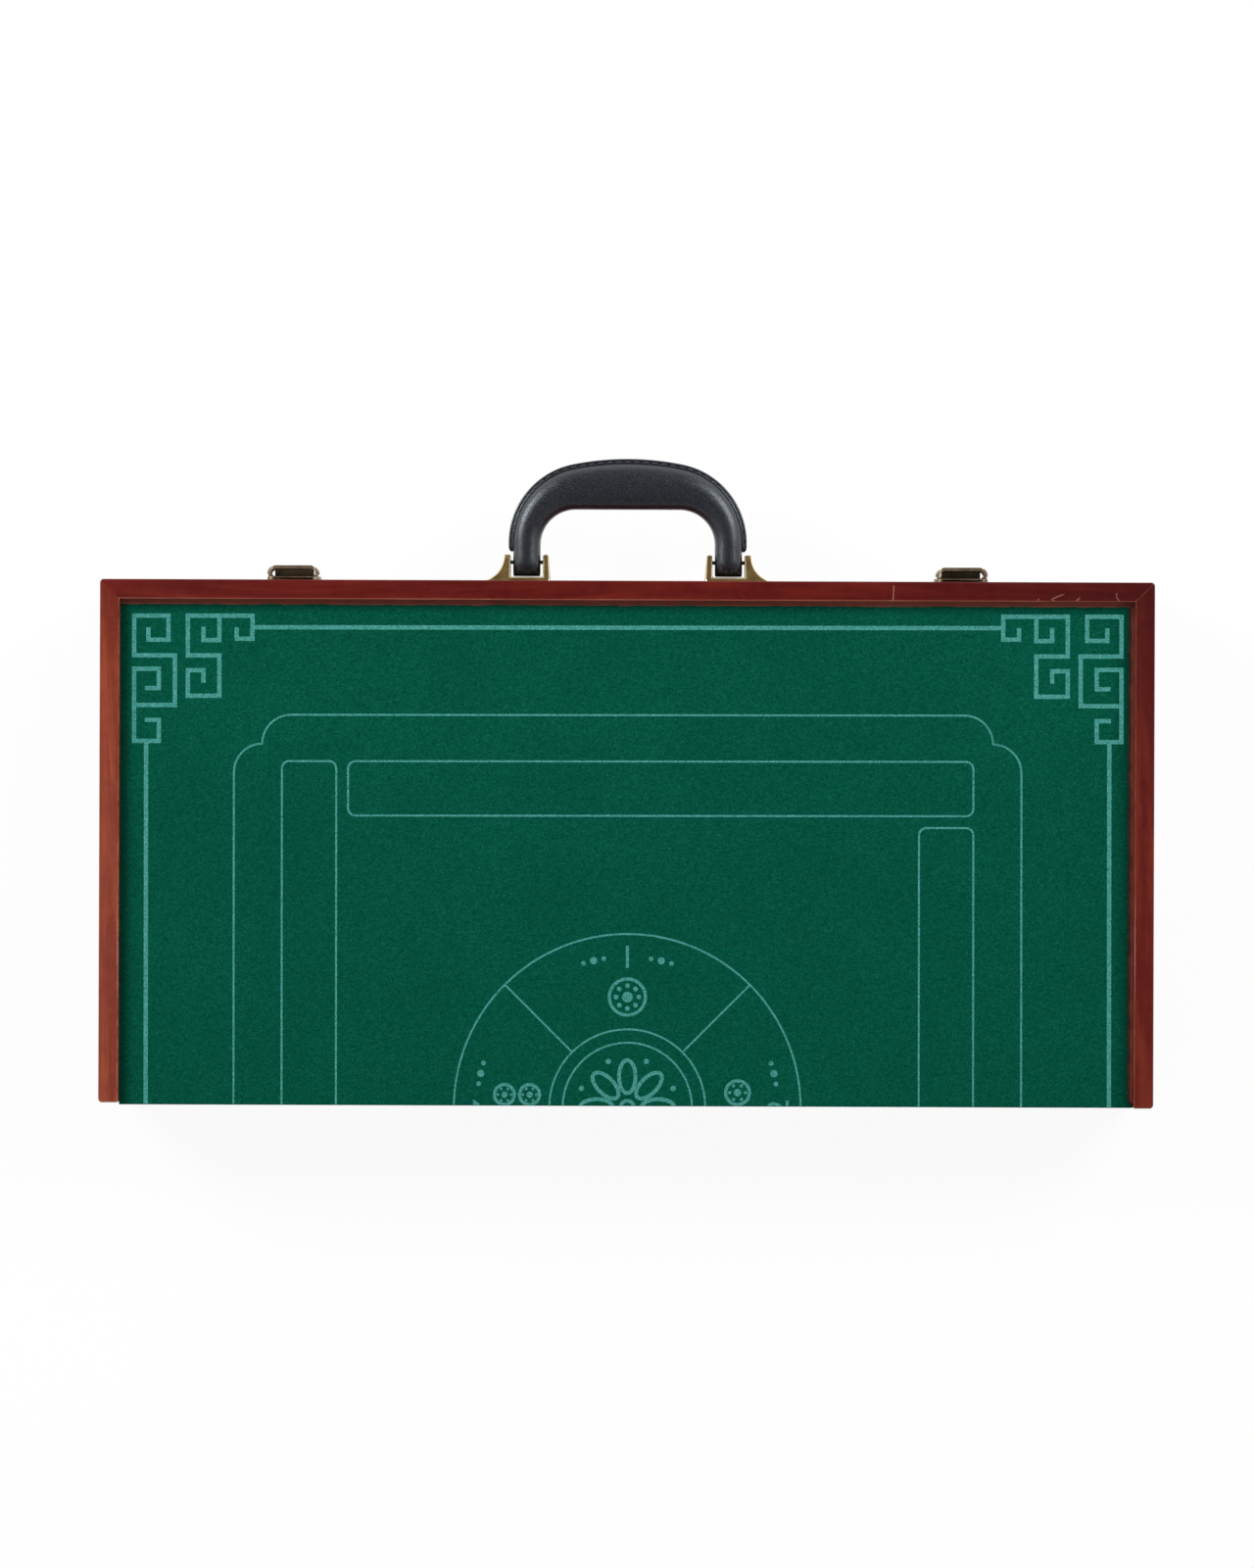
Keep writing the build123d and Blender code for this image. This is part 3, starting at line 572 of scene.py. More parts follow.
@dataclass(frozen=True)
class DarkSteel:
    """Steel of the pins and screws."""

    name: str
    tone: Colour
    roughness: float

    SPOT: ClassVar[Colour] = paint(40, 38, 36)

    def build(self) -> Material:
        """Make the material.

        Returns:
            The material.
        """
        graph = ShaderGraph(self.name)
        turned = graph.noise(1.0, 3.0, 0.6, 0.0, graph.stretched((4000.0, 300.0, 300.0)))
        spots = graph.noise(500.0, 3.0, 0.6)
        tone = graph.mix(graph.fit(spots, 0.5, 0.75, 0.0, 0.5), self.tone, self.SPOT)
        graph.relief(turned, 0.02, 0.4)
        return graph.finish(
            Base_Color=tone, Metallic=1.0,
            Roughness=graph.fit(turned, 0.3, 0.7, self.roughness - 0.05, self.roughness + 0.1),
        )


@dataclass(frozen=True)
class GrainedLeather:
    """Black leather with a fine pebble grain, the tops of its pebbles and crests painted lighter as
    a painted glint.
    """

    name: str
    tone: Colour
    grain_scale: float
    grain_depth: float

    VALLEY: ClassVar[Colour] = paint(40, 42, 49)
    CREST: ClassVar[Colour] = paint(68, 71, 79)

    def build(self) -> Material:
        """Make the material.

        Returns:
            The material.
        """
        graph = ShaderGraph(self.name)
        pebble = graph.cells(self.grain_scale, "Distance", "SMOOTH_F1")
        wrinkle = graph.noise(self.grain_scale * 1.3, 2.0, 0.5, 0.3)
        height = graph.math("ADD", graph.math("MULTIPLY", pebble, -0.9),
                            graph.math("MULTIPLY", wrinkle, 0.4))
        # Painted glint: the pebble tops and crests are lighter.
        tone = graph.mix(graph.fit(pebble, 0.1, 0.5, 1.0, 0.0), self.tone, self.VALLEY)
        glint_crests = graph.noise(self.grain_scale * 0.75, 2.0, 0.6, 0.2)
        tone = graph.mix(graph.fit(glint_crests, 0.5, 0.68, 0.0, 0.65), tone, self.CREST)
        graph.relief(height, self.grain_depth, 0.8)
        return graph.finish(
            Base_Color=tone, Roughness=graph.fit(wrinkle, 0.3, 0.7, 0.26, 0.36),
            Specular_IOR_Level=0.85, Specular_Tint=(0.86, 0.93, 1.0, 1.0),
        )


@dataclass(frozen=True)
class SewingThread:
    """Waxed thread with its twist."""

    name: str
    tone: Colour

    TURN: ClassVar[Colour] = paint(30, 31, 34)

    def build(self) -> Material:
        """Make the material.

        Returns:
            The material.
        """
        graph = ShaderGraph(self.name)
        inputs = {"Vector": graph.place, "Scale": 1600.0, "Distortion": 1.0}
        twist = graph.node("ShaderNodeTexWave", "Fac", inputs, bands_direction="DIAGONAL")
        tone = graph.mix(graph.fit(twist, 0.0, 1.0, 0.0, 0.4), self.tone, self.TURN)
        graph.relief(twist, 0.03, 0.5)
        return graph.finish(Base_Color=tone, Roughness=0.5)


def mesh_piece(
    name: str, points: Iterable[Sequence[float]], faces: Iterable[Sequence[int]],
    materials: Sequence[Material], smooth: float = 40.0,
) -> Object:
    """Make an object from points and faces.

    Args:
        name: The piece's name.
        points: Corners in millimetres.
        faces: Corners of each face, by number.
        materials: Its finishes; the faces take the first.
        smooth: Edges flatter than this many degrees are shaded smooth.

    Returns:
        The object, linked to the scene.
    """
    mesh = bpy.data.meshes.new(name)
    mesh.from_pydata([Vector(p) * MM for p in points], [], [tuple(f) for f in faces])
    mesh.validate()
    return shown(name, mesh, materials, smooth)


def shown(
    name: str, mesh: Mesh, materials: Sequence[Material], smooth: float,
) -> Object:
    """Put a mesh into the scene.

    Args:
        name: The piece's name.
        mesh: Its mesh.
        materials: Its finishes.
        smooth: Edges flatter than this many degrees are shaded smooth.

    Returns:
        The object.
    """
    for material in materials:
        mesh.materials.append(material)
    mesh.polygons.foreach_set("use_smooth", [True] * len(mesh.polygons))
    mesh.set_sharp_from_angle(angle=math.radians(smooth))
    made = bpy.data.objects.new(name, mesh)
    bpy.context.scene.collection.objects.link(made)
    return made


def closed_sheet(rows: int, columns: int) -> list[Face]:
    """Join two layers of points, each given row by row, into a closed sheet.

    Args:
        rows: Rows in each layer.
        columns: Points in each row.

    Returns:
        The faces, which look outward if x and y rise and the second layer lies below the first.
    """
    below = rows * columns
    faces: list[Face] = []
    for r in range(rows - 1):
        for c in range(columns - 1):
            a = r * columns + c
            quad = (a, a + 1, a + columns + 1, a + columns)
            faces += [quad, tuple(below + i for i in reversed(quad))]
    for c in range(columns - 1):
        a, b = c, (rows - 1) * columns + c
        faces += [(a + 1, a, below + a, below + a + 1), (b, b + 1, below + b + 1, below + b)]
    for r in range(rows - 1):
        a, b = r * columns, r * columns + columns - 1
        faces += [(a, a + columns, below + a + columns, below + a),
                  (b + columns, b, below + b, below + b + columns)]
    return faces


def tube(rings: int, around: int, start: int = 0) -> list[Face]:
    """Join rings of points into a tube with a cap at each end.

    Args:
        rings: How many rings there are.
        around: Points in each ring.
        start: The number of the first point.

    Returns:
        The faces, the caps last.
    """
    faces: list[Face] = []
    for r in range(rings - 1):
        for i in range(around):
            a, b = (start + r * around + k for k in (i, (i + 1) % around))
            faces.append((a, b, b + around, a + around))
    last = start + (rings - 1) * around
    return faces + [tuple(range(start, start + around))[::-1], tuple(range(last, last + around))]


def turned_over(face: Face) -> Face:
    """A face that looks the other way, with the same first corner."""
    return (face[0], *face[:0:-1])


def place_piece(piece: Object, body: str, slot: str, *nodes: str) -> Object:
    """Let a piece ride on its body and stand for its CAD nodes.

    Args:
        piece: The piece.
        body: The CAD body that it rides on.
        slot: The record's material slot; not used.
        *nodes: The CAD nodes that it stands for.

    Returns:
        The piece.
    """
    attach(piece, body)
    if nodes:
        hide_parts(*nodes)
    log.info("%s rides on %s, %d faces", piece.name, body, len(piece.data.polygons))
    return piece


@dataclass
class CadFrame:
    """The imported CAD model, and copies of its nodes with worked edges."""

    nodes: dict[str, Object]
    body_of: dict[str, str]
    slot_of: dict[str, str]

    # Corners this close, in metres, are one.
    WELD: ClassVar[float] = 2e-6
    # Edges this close, in millimetres, to a seated piece's rear aren't rounded.
    SEAT_MARGIN: ClassVar[float] = 0.4
    # Share of the rounding's width that a corner may move off the surface.
    LARGEST_SHIFT: ClassVar[float] = 0.45
    # Faces that meet at less than this many degrees are merged.
    FLAT: ClassVar[float] = 0.3
    # Edges flatter than this many degrees are shaded smooth.
    SMOOTH: ClassVar[float] = 35.0

    @classmethod
    def load(cls) -> CadFrame:
        """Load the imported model.

        Returns:
            The model, with the body and the slot of each node.
        """
        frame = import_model()
        groups = frame["record"]["behaviour"]["bodies"]
        bodies = {node: body for body, nodes in groups.items() for node in nodes}
        slots = {name: node.data.materials[0].name for name, node in frame["nodes"].items()}
        return cls(dict(frame["nodes"]), bodies, slots)

    def worked(
        self, node: str, finish: Material, edge: float = 0.0, steps: int = 2,
        edge_finish: Material | None = None, least_angle: float = 32.0,
        worn: Callable[[Vector, Vector], bool] | None = None, seated: bool = False,
    ) -> Object:
        """Copy a node, round its sharp edges and merge its flat faces.

        Args:
            node: The CAD node.
            finish: The finish of its faces.
            edge: Width of the rounding in millimetres, none if 0.
            steps: Faces across the rounding.
            edge_finish: The finish of the rounding, the faces' own if none is given.
            least_angle: Edges sharper than this many degrees are rounded.
            worn: Tells from a face's middle and direction whether it takes the edge finish, which
                on the rails is a painted highlight.
            seated: Whether the edges on its rear side, against the wood, stay sharp.

        Returns:
            The finished piece, in place of the node.
        """
        form = bmesh.new()
        form.from_mesh(self.nodes[node].data)
        bmesh.ops.remove_doubles(form, verts=form.verts, dist=self.WELD)
        if edge:
            sound = BVHTree.FromBMesh(form)
            rear = max(corner.co.y for corner in form.verts) - self.SEAT_MARGIN * MM
            sharp = [
                e for e in form.edges
                if e.is_manifold and e.calc_face_angle(0.0) > math.radians(least_angle)
                and (not seated or (e.verts[0].co.y + e.verts[1].co.y) / 2.0 < rear)
            ]
            bmesh.ops.bevel(
                form, geom=sharp, offset=edge * MM, offset_type="OFFSET", segments=steps,
                profile=0.5, affect="EDGES", clamp_overlap=False,
                material=1 if edge_finish else -1,
            )
            for corner in form.verts:
                place, _, _, gap = sound.find_nearest(corner.co)
                if gap > self.LARGEST_SHIFT * edge * MM:
                    corner.co = place
        bmesh.ops.dissolve_limit(
            form, angle_limit=math.radians(self.FLAT), verts=form.verts, edges=form.edges,
            delimit={"MATERIAL"},
        )
        for face in form.faces:
            face.normal_update()
            if worn and worn(face.calc_center_median() / MM, face.normal):
                face.material_index = 1
        mesh = bpy.data.meshes.new(f"{node}_finished")
        form.to_mesh(mesh)
        form.free()
        finishes = [finish] + ([edge_finish] if edge_finish else [])
        made = shown(f"{node}_finished", mesh, finishes, self.SMOOTH)
        weighted = made.modifiers.new("even_shading", "WEIGHTED_NORMAL")
        weighted.keep_sharp = True
        return place_piece(made, self.body_of[node], self.slot_of[node], node)


@dataclass
class Tray:
    """One half of the case: rails, hinge-edge wall, panel, dividers and their screws."""

    half: Half
    cad: CadFrame
    rail_finishes: dict[str, Material]
    worn_edge: Material
    plain_wood: Material
    panel_wood: Material
    screw_metal: Material
    edge_metal: Material

    # The rails' rounded inner edge, which takes a painted highlight: its width, and the range of z,
    # up or down, in its normals.
    ARRIS: ClassVar[float] = 1.2
    ARRIS_SLOPE: ClassVar[Point2] = (0.25, 0.97)
    # Half the opening between the side rails.
    OPENING_HALF: ClassVar[float] = 322.5
    # Faces whose direction has more than this along y belong to the handle rail.
    ACROSS: ClassVar[float] = 0.1

    @classmethod
    def inner_arris(cls, middle: Vector, direction: Vector) -> bool:
        """Whether a face belongs to the rounded inner edge that frames the felt.

        Args:
            middle: The face's middle in millimetres.
            direction: Its normal.

        Returns:
            True if it does.
        """
        if abs(direction.y) > cls.ACROSS:
            inward = middle.y > INNER_FRONT - cls.ARRIS
        else:
            inward = abs(middle.x) < cls.OPENING_HALF + cls.ARRIS
        gentle, steep = cls.ARRIS_SLOPE
        return gentle < abs(direction.z) < steep and inward

    def build(self) -> None:
        """Dress every hard piece of this half."""
        prefix = self.half.value
        for rail, finish in self.rail_finishes.items():
            # The rails' inner arris takes a lighter lacquer, a painted highlight.
            self.cad.worked(f"{prefix}_{rail}", finish, edge_finish=self.worn_edge,
                            worn=self.inner_arris)
        self.cad.worked(f"{prefix}_hinge_wall", self.plain_wood, 0.4)
        self.cad.worked(f"{prefix}_panel", self.panel_wood, 0.3)
        for dividers in ("long_divider", "cross_dividers"):
            self.cad.worked(f"{prefix}_{dividers}", self.plain_wood, 0.7, 3)
        self.cad.worked(f"{prefix}_hinge_screws", self.screw_metal, 0.12, 2, self.edge_metal)


@dataclass
class FeltSheet:
    """The playing felt of one half, glued on the panel and down the wall at the hinge edge.

    It is cut a little short at the handle rail and at one side rail, so the stained panel shows.
    Where it folds over the hinge edge it runs the full width.
    """

    half: Half
    finish: Material
    left: float = -322.5
    right: float = 322.5
    front: float = INNER_FRONT
    fold: float = FOLD
    top: float = 84.0
    foot: float = 49.0
    thickness: float = 0.95
    fold_radius: float = 0.9
    front_gap: float = 3.2
    side_gap: float = 3.3
    cell: float = 5.0
    raggedness: float = 0.35
    bend_steps: int = 6
    drop_steps: int = 7
    full_width: float = 2.0
    left_play: float = 0.2
    right_play: float = 0.1

    # The noise of the cut edges, as waves per millimetre and a seed: slow, quick, at the front.
    SLOW: ClassVar[Point2] = (0.21, 3.1)
    QUICK: ClassVar[Point2] = (1.3, 7.7)
    FRONT_CUT: ClassVar[Point2] = (0.17, 1.3)

    @staticmethod
    def unevenness(place: float, wave: Point2) -> float:
        """How far a cut edge strays at a place along it, from -1 to 1."""
        return noise.noise(Vector((place * wave[0], wave[1], 0.0)))

    def profile(self, inner: bool) -> list[Point2]:
        """The felt's section from its front edge to its foot, as (y, z).

        Args:
            inner: True for the glued face, False for the face that shows.

        Returns:
            The points, the same number for both faces.
        """
        depth = self.thickness if inner else 0.0
        corner = max(self.fold_radius - depth, 0.0)
        y_bend, z_bend = self.fold - self.fold_radius, self.top - self.fold_radius
        flat = self.front + self.front_gap
        count = round((y_bend - flat) / self.cell)
        run = [(flat + (y_bend - flat) * i / count, self.top - depth) for i in range(count)]
        turns = [math.pi / 2 * i / self.bend_steps for i in range(self.bend_steps + 1)]
        bend = [(y_bend + corner * math.sin(a), z_bend + corner * math.cos(a)) for a in turns]
        if not corner:
            bend = [(self.fold - depth, self.top - depth)] * len(turns)
        drop = [(self.fold - depth, z_bend - (z_bend - self.foot) * i / self.drop_steps)
                for i in range(1, self.drop_steps + 1)]
        return run + bend + drop

    def build(self, prints: Sequence[Object]) -> Object:
        """Make the sheet.

        Args:
            prints: The printed pieces on it; not used.

        Returns:
            The sheet.
        """
        outer, inner = self.profile(False), self.profile(True)
        across = round((self.right - self.left) / self.cell)
        points: list[Point3] = []
        for section in (outer, inner):
            for row, (y, z) in enumerate(section):
                wave = self.raggedness * self.unevenness(y, self.SLOW)
                wave += 0.5 * self.raggedness * self.unevenness(y, self.QUICK)
                cut_short = y < self.fold - self.full_width
                low = self.left + (self.side_gap + 2.0 * wave if cut_short else self.left_play)
                high = self.right - self.right_play
                for column in range(across + 1):
                    x = low + (high - low) * column / across
                    ragged = self.unevenness(x, self.FRONT_CUT) if row == 0 else 0.0
                    points.append((x, y + self.raggedness * 1.6 * ragged, self.half.height(z)))
        faces = closed_sheet(len(outer), across + 1)
        if self.half is Half.LOWER:
            faces = [tuple(reversed(f)) for f in faces]
        made = mesh_piece(f"{self.half.value}_felt", points, faces, [self.finish], 50.0)
        node = f"{self.half.value}_playing_felt"
        place_piece(made, self.half.body, "playing_felt", node)
        return made


@dataclass
class Lining:
    """The thin cloth glued over the inside of one panel."""

    half: Half
    finish: Material
    cell: float = 8.0
    rim_drop: float = 0.35
    swell: float = 0.12
    swell_scale: float = 0.03

    def build(self) -> Object:
        """Make the sheet in the CAD node's box, with a lowered rim and a faint swell.

        Returns:
            The sheet.
        """
        low, high = (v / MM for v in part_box(f"{self.half.value}_lining"))
        inward = -1.0 if self.half is Half.UPPER else 1.0
        glued, open_face = (high.z, low.z) if inward < 0 else (low.z, high.z)
        across, along = (round((high[i] - low[i]) / self.cell) for i in (0, 1))
        points: list[Point3] = []
        for layer in (0, 1):
            for r in range(along + 1):
                for c in range(across + 1):
                    x = low.x + (high.x - low.x) * c / across
                    y = low.y + (high.y - low.y) * r / along
                    rim = min(c, r, across - c, along - r) == 0
                    level = noise.noise(Vector((x, y, 0.0)) * self.swell_scale)
                    rise = -self.rim_drop if rim else self.swell * (level - 1.0) / 2.0
                    points.append((x, y, glued if layer else open_face + inward * rise))
        faces = [turned_over(face) for face in closed_sheet(along + 1, across + 1)]
        if self.half is Half.LOWER:
            faces = [tuple(reversed(f)) for f in faces]
        made = mesh_piece(f"{self.half.value}_lining_cloth", points, faces, [self.finish], 60.0)
        node = f"{self.half.value}_lining"
        place_piece(made, self.half.body, "lining_cloth", node)
        return made


class Ribbon:
    """Flat printed shapes in the board's own plane, as polygons of (u, v)."""

    # Arcs have one side for so many degrees times millimetres of radius, and at least so many.
    ARC_SIDE: ClassVar[float] = 130.0
    LEAST_RADIUS: ClassVar[float] = 6.0
    LEAST_SIDES: ClassVar[int] = 6
    DISC_SIDES: ClassVar[int] = 24
    CORNER_SIDES: ClassVar[int] = 6
    # The cosine that limits how far a sharp corner's mitre reaches.
    LEAST_MITRE: ClassVar[float] = 0.3

    def __init__(self) -> None:
        """Start with nothing drawn."""
        self.polygons: list[list[Point2]] = []

    def line(self, points: Sequence[Point2], width: float, closed: bool = False) -> None:
        """Draw a line with mitred corners.

        Args:
            points: Its centreline.
            width: Its width.
            closed: Whether it ends where it starts.
        """
        path = [Vector(p) for p in points]
        count = len(path)
        sides: list[tuple[Vector, Vector]] = []
        for i, here in enumerate(path):
            before = path[i - 1] if closed or i else None
            after = path[(i + 1) % count] if closed or i < count - 1 else None
            runs = [(b - a).normalized() for a, b in ((before, here), (here, after))
                    if a is not None and b is not None]
            normals = [Vector((-r.y, r.x)) for r in runs]
            out = sum(normals, Vector((0.0, 0.0))).normalized()
            reach = width / 2 / max(out.dot(normals[0]), self.LEAST_MITRE)
            sides.append((here + out * reach, here - out * reach))
        pairs = list(zip(sides, sides[1:] + sides[:1]))
        for (a, b), (c, d) in pairs if closed else pairs[:-1]:
            self.polygons.append([tuple(p) for p in (a, c, d, b)])

    def arc(self, centre: Point2, radius: float, start: float, end: float, width: float) -> None:
        """Draw part of a circle.

        Args:
            centre: Its centre.
            radius: Its radius.
            start: Start angle in degrees.
            end: End angle in degrees.
            width: Line width.
        """
        full = abs(end - start) >= 360.0
        sides = round(abs(end - start) * max(radius, self.LEAST_RADIUS) / self.ARC_SIDE)
        sides = max(self.LEAST_SIDES, sides)
        turns = [math.radians(start + (end - start) * i / sides) for i in range(sides + (not full))]
        self.line([polar(radius, a, centre) for a in turns], width, full)

    def disc(self, centre: Point2, radius: float) -> None:
        """Draw a filled circle.

        Args:
            centre: Its centre.
            radius: Its radius.
        """
        turns = [math.tau * i / self.DISC_SIDES for i in range(self.DISC_SIDES)]
        self.polygons.append([polar(radius, a, centre) for a in turns])

    def rounded_box(self, low: Point2, high: Point2, radius: float, width: float) -> None:
        """Draw a rectangle with rounded corners.

        Args:
            low: Its lowest corner.
            high: Its highest corner.
            radius: Corner radius.
            width: Line width.
        """
        corners = ((high[0], high[1], 0), (low[0], high[1], 90), (low[0], low[1], 180),
                   (high[0], low[1], 270))
        path: list[Point2] = []
        for x, y, start in corners:
            cx = x - radius if x == high[0] else x + radius
            cy = y - radius if y == high[1] else y + radius
            for i in range(self.CORNER_SIDES + 1):
                a = math.radians(start + 90 * i / self.CORNER_SIDES)
                path.append(polar(radius, a, (cx, cy)))
        self.line(path, width, True)

    def numeral(self, text: str, centre: Point2, height: float, turn: float) -> None:
        """Draw a plain numeral.

        Args:
            text: The numeral.
            centre: Its middle.
            height: Its height.
            turn: Rotation in degrees.
        """
        curve = bpy.data.curves.new("numeral", "FONT")
        curve.body = text
        curve.align_x, curve.align_y = "CENTER", "CENTER"
        curve.resolution_u = 6
        holder = bpy.data.objects.new("numeral", curve)
        mesh = bpy.data.meshes.new_from_object(holder)
        corners = [Vector(v.co[:2]) for v in mesh.vertices]
        low = Vector((min(c.x for c in corners), min(c.y for c in corners)))
        high = Vector((max(c.x for c in corners), max(c.y for c in corners)))
        factor, middle = height / (high.y - low.y), (low + high) / 2
        a = math.radians(turn)
        for face in mesh.polygons:
            self.polygons.append([rotated((corners[i] - middle) * factor, a, centre)
                                  for i in face.vertices])
        bpy.data.objects.remove(holder)
        bpy.data.curves.remove(curve)
        bpy.data.meshes.remove(mesh)


def cut(polygon: Sequence[Point2], low: float, high: float) -> list[Point2]:
    """Keep the part of a polygon between two heights.

    Args:
        polygon: Its corners.
        low: Lowest v kept.
        high: Highest v kept.

    Returns:
        The corners that are left, none if it lies outside.
    """
    kept = list(polygon)
    for sign, limit in ((1.0, low), (-1.0, -high)):
        source, kept = kept, []
        for here, after in zip(source, source[1:] + source[:1]):
            inside, next_inside = sign * here[1] >= limit, sign * after[1] >= limit
            if inside:
                kept.append(here)
            if inside != next_inside:
                share = (limit - sign * here[1]) / (sign * after[1] - sign * here[1])
                kept.append((here[0] + (after[0] - here[0]) * share, sign * limit))
        if len(kept) < 3:
            return []
    return kept


@dataclass
class BoardPrint:
    """The whole board's printed pattern, cut along the fold and laid on both felts."""

    ink: Material
    felt: FeltSheet
    thick: float = 2.75
    thin: float = 1.25
    lift: float = 0.05
    skew: float = 0.137
    stretch: float = 1.002
    shift: Point2 = (1.0, -0.7)
    corner: Point2 = (313.4, 311.7)
    border_v: float = 304.4
    border_u: float = 305.75
    fret_reach: Point2 = (75.1, 79.5)
    frame_half: float = 250.0
    frame_short: float = 1.1
    lobe: float = 18.3
    lobe_centre: Point2 = (213.7, 212.3)
    lobe_sides: int = 10
    wall_near: float = 185.0
    wall_far: float = 219.5
    wall_short: float = 177.5
    wall_corner: float = 4.7
    dial_rings: tuple[float, ...] = (110.0, 49.5, 41.0)
    word_ring: float = 95.5
    sign_ring: float = 70.0
    numeral_height: float = 14.0
    petals: int = 8
    petal_centre: float = 19.5
    petal_size: Point2 = (10.5, 5.2)
    petal_line: float = 2.4
    petal_sides: int = 12
    petal_dots: Point2 = (31.5, 1.7)
    eye: Point2 = (4.2, 2.2)
    drawn: dict[str, Ribbon] = field(default_factory=dict)

    # Shapes are cut into strips by their distance from the fold, to follow the felt round it.
    BANDS: ClassVar[tuple[Point2, ...]] = ((0.0, 0.12), (0.12, 0.4), (0.4, 0.9), (0.9, 400.0))
    # Shapes that cross lie at one of so many levels, so far apart.
    LEVELS: ClassVar[int] = 5
    LEVEL_STEP: ClassVar[float] = 0.004
    # The dots beside a numeral: degrees off its middle, and radius.
    DOTS: ClassVar[tuple[Point2, ...]] = ((9.0, 1.5), (13.0, 2.3), (17.0, 1.5))
    # The counting rings of each sector: outer radius, and places from the sector's middle.
    RINGS: ClassVar[dict[int, tuple[float, tuple[Point2, ...]]]] = {
        1: (12.5, ((0.0, 0.0),)),
        2: (8.6, ((0.0, -9.4), (0.0, 9.4))),
        3: (8.0, ((7.6, 0.0), (-6.4, -8.6), (-6.4, 8.6))),
        4: (7.4, ((8.0, -8.0), (8.0, 8.0), (-8.0, -8.0), (-8.0, 8.0))),
    }
    # A counting ring: its line, and as shares of its radius where its beads are, their size and
    # its middle's. Rings above a radius have eight beads, others six.
    RING_LINE: ClassVar[float] = 2.0
    BEAD_PLACE: ClassVar[float] = 0.58
    BEAD: ClassVar[float] = 0.12
    HUB: ClassVar[float] = 0.27
    LARGE_RING: ClassVar[float] = 10.0
    # The corner fret's lines, measured inward from the board's corner.
    FRET: ClassVar[tuple[tuple[Point2, ...], ...]] = (
        ((9.0, 7.3), (9.0, 15.3), (21.8, 15.3), (21.8, 0.0), (0.0, 0.0), (0.0, 25.2),
         (25.9, 25.2), (25.9, 56.7), (0.0, 56.7)),
        ((6.9, 46.0), (15.7, 46.0), (15.7, 33.7), (0.0, 33.7), (0.0, 79.5), (15.7, 79.5),
         (15.7, 66.2), (6.7, 66.2)),
        ((44.0, 7.0), (44.0, 15.5), (54.1, 15.5), (54.1, 0.0)),
        ((44.0, 42.5), (44.0, 34.6), (34.1, 34.6), (34.1, 50.8), (54.1, 50.8), (54.1, 25.2),
         (34.1, 25.2), (34.1, 0.0), (75.1, 0.0), (75.1, 14.6), (65.1, 14.6), (65.1, 7.3)),
    )

    def frets(self, ribbon: Ribbon) -> None:
        """Draw the corner frets and the border that joins them.

        Args:
            ribbon: What takes the lines.
        """
        side, top = self.corner
        u_end, v_end = side - self.fret_reach[0], top - self.fret_reach[1]
        for s in (-1, 1):
            for t in (-1, 1):
                for path in self.FRET:
                    ribbon.line([(s * (side - dx), t * (top - dy)) for dx, dy in path],
                                self.thick)
            ribbon.line([(s * self.border_u, -v_end), (s * self.border_u, v_end)], self.thick)
            ribbon.line([(-u_end, s * self.border_v), (u_end, s * self.border_v)], self.thick)

    def lobed_frame(self, ribbon: Ribbon) -> None:
        """Draw the square with a double lobe at each corner.

        Args:
            ribbon: What takes the lines.
        """
        a, b, r = self.frame_half, self.frame_half - self.frame_short, self.lobe
        u_end, v_end = self.lobe_centre
        turns = [math.radians(90.0 * i / self.lobe_sides) for i in range(self.lobe_sides + 1)]
        for s in (-1, 1):
            ribbon.line([(s * a, -v_end), (s * a, v_end)], self.thin)
            ribbon.line([(-u_end, s * b), (u_end, s * b)], self.thin)
            for t in (-1, 1):
                for centre in ((a - r, v_end), (u_end, a - r - self.frame_short)):
                    arc = (polar(r, x, centre) for x in turns)
                    ribbon.line([(s * u, t * v) for u, v in arc], self.thin)

    def walls(self, ribbon: Ribbon) -> None:
        """Draw the four long boxes that the walls of tiles stand in, set like a pinwheel.

        Args:
            ribbon: What takes the lines.
        """
        near, far, short = self.wall_near, self.wall_far, self.wall_short
        for low, high in (((-short, near), (far, far)), ((near, -far), (far, short)),
                          ((-far, -far), (short, -near)), ((-far, -short), (-near, far))):
            ribbon.rounded_box(low, high, self.wall_corner, self.thin)

    def dial(self, ribbon: Ribbon) -> None:
        """Draw the dial in the middle: rings, dividing lines, numerals and counting rings.

        Args:
            ribbon: What takes the lines.
        """
        for radius in self.dial_rings:
            ribbon.arc(ORIGIN, radius, 0.0, 360.0, self.thin)
        outer, inner, _ = self.dial_rings
        for turn in (45.0, 135.0, 225.0, 315.0):
            a = math.radians(turn)
            ribbon.line([polar(inner, a), polar(outer, a)], self.thin)
        for number, outward in ((1, 90.0), (2, 0.0), (3, 270.0), (4, 180.0)):
            self.sector(ribbon, number, outward)
        self.rosette(ribbon)

    def sector(self, ribbon: Ribbon, number: int, outward: float) -> None:
        """Fill one sector with its numeral, three dots each side and its counting rings.

        Args:
            ribbon: What takes the lines.
            number: 1 to 4.
            outward: Direction of the sector's middle in degrees.
        """
        a = math.radians(outward)
        ribbon.numeral(str(number), polar(self.word_ring, a), self.numeral_height, outward + 90.0)
        for offset, radius in self.DOTS:
            for s in (-1, 1):
                ribbon.disc(polar(self.word_ring, math.radians(outward + s * offset)), radius)
        size, spots = self.RINGS[number]
        for spot in spots:
            self.counting_ring(ribbon, rotated(spot, a, polar(self.sign_ring, a)), size)

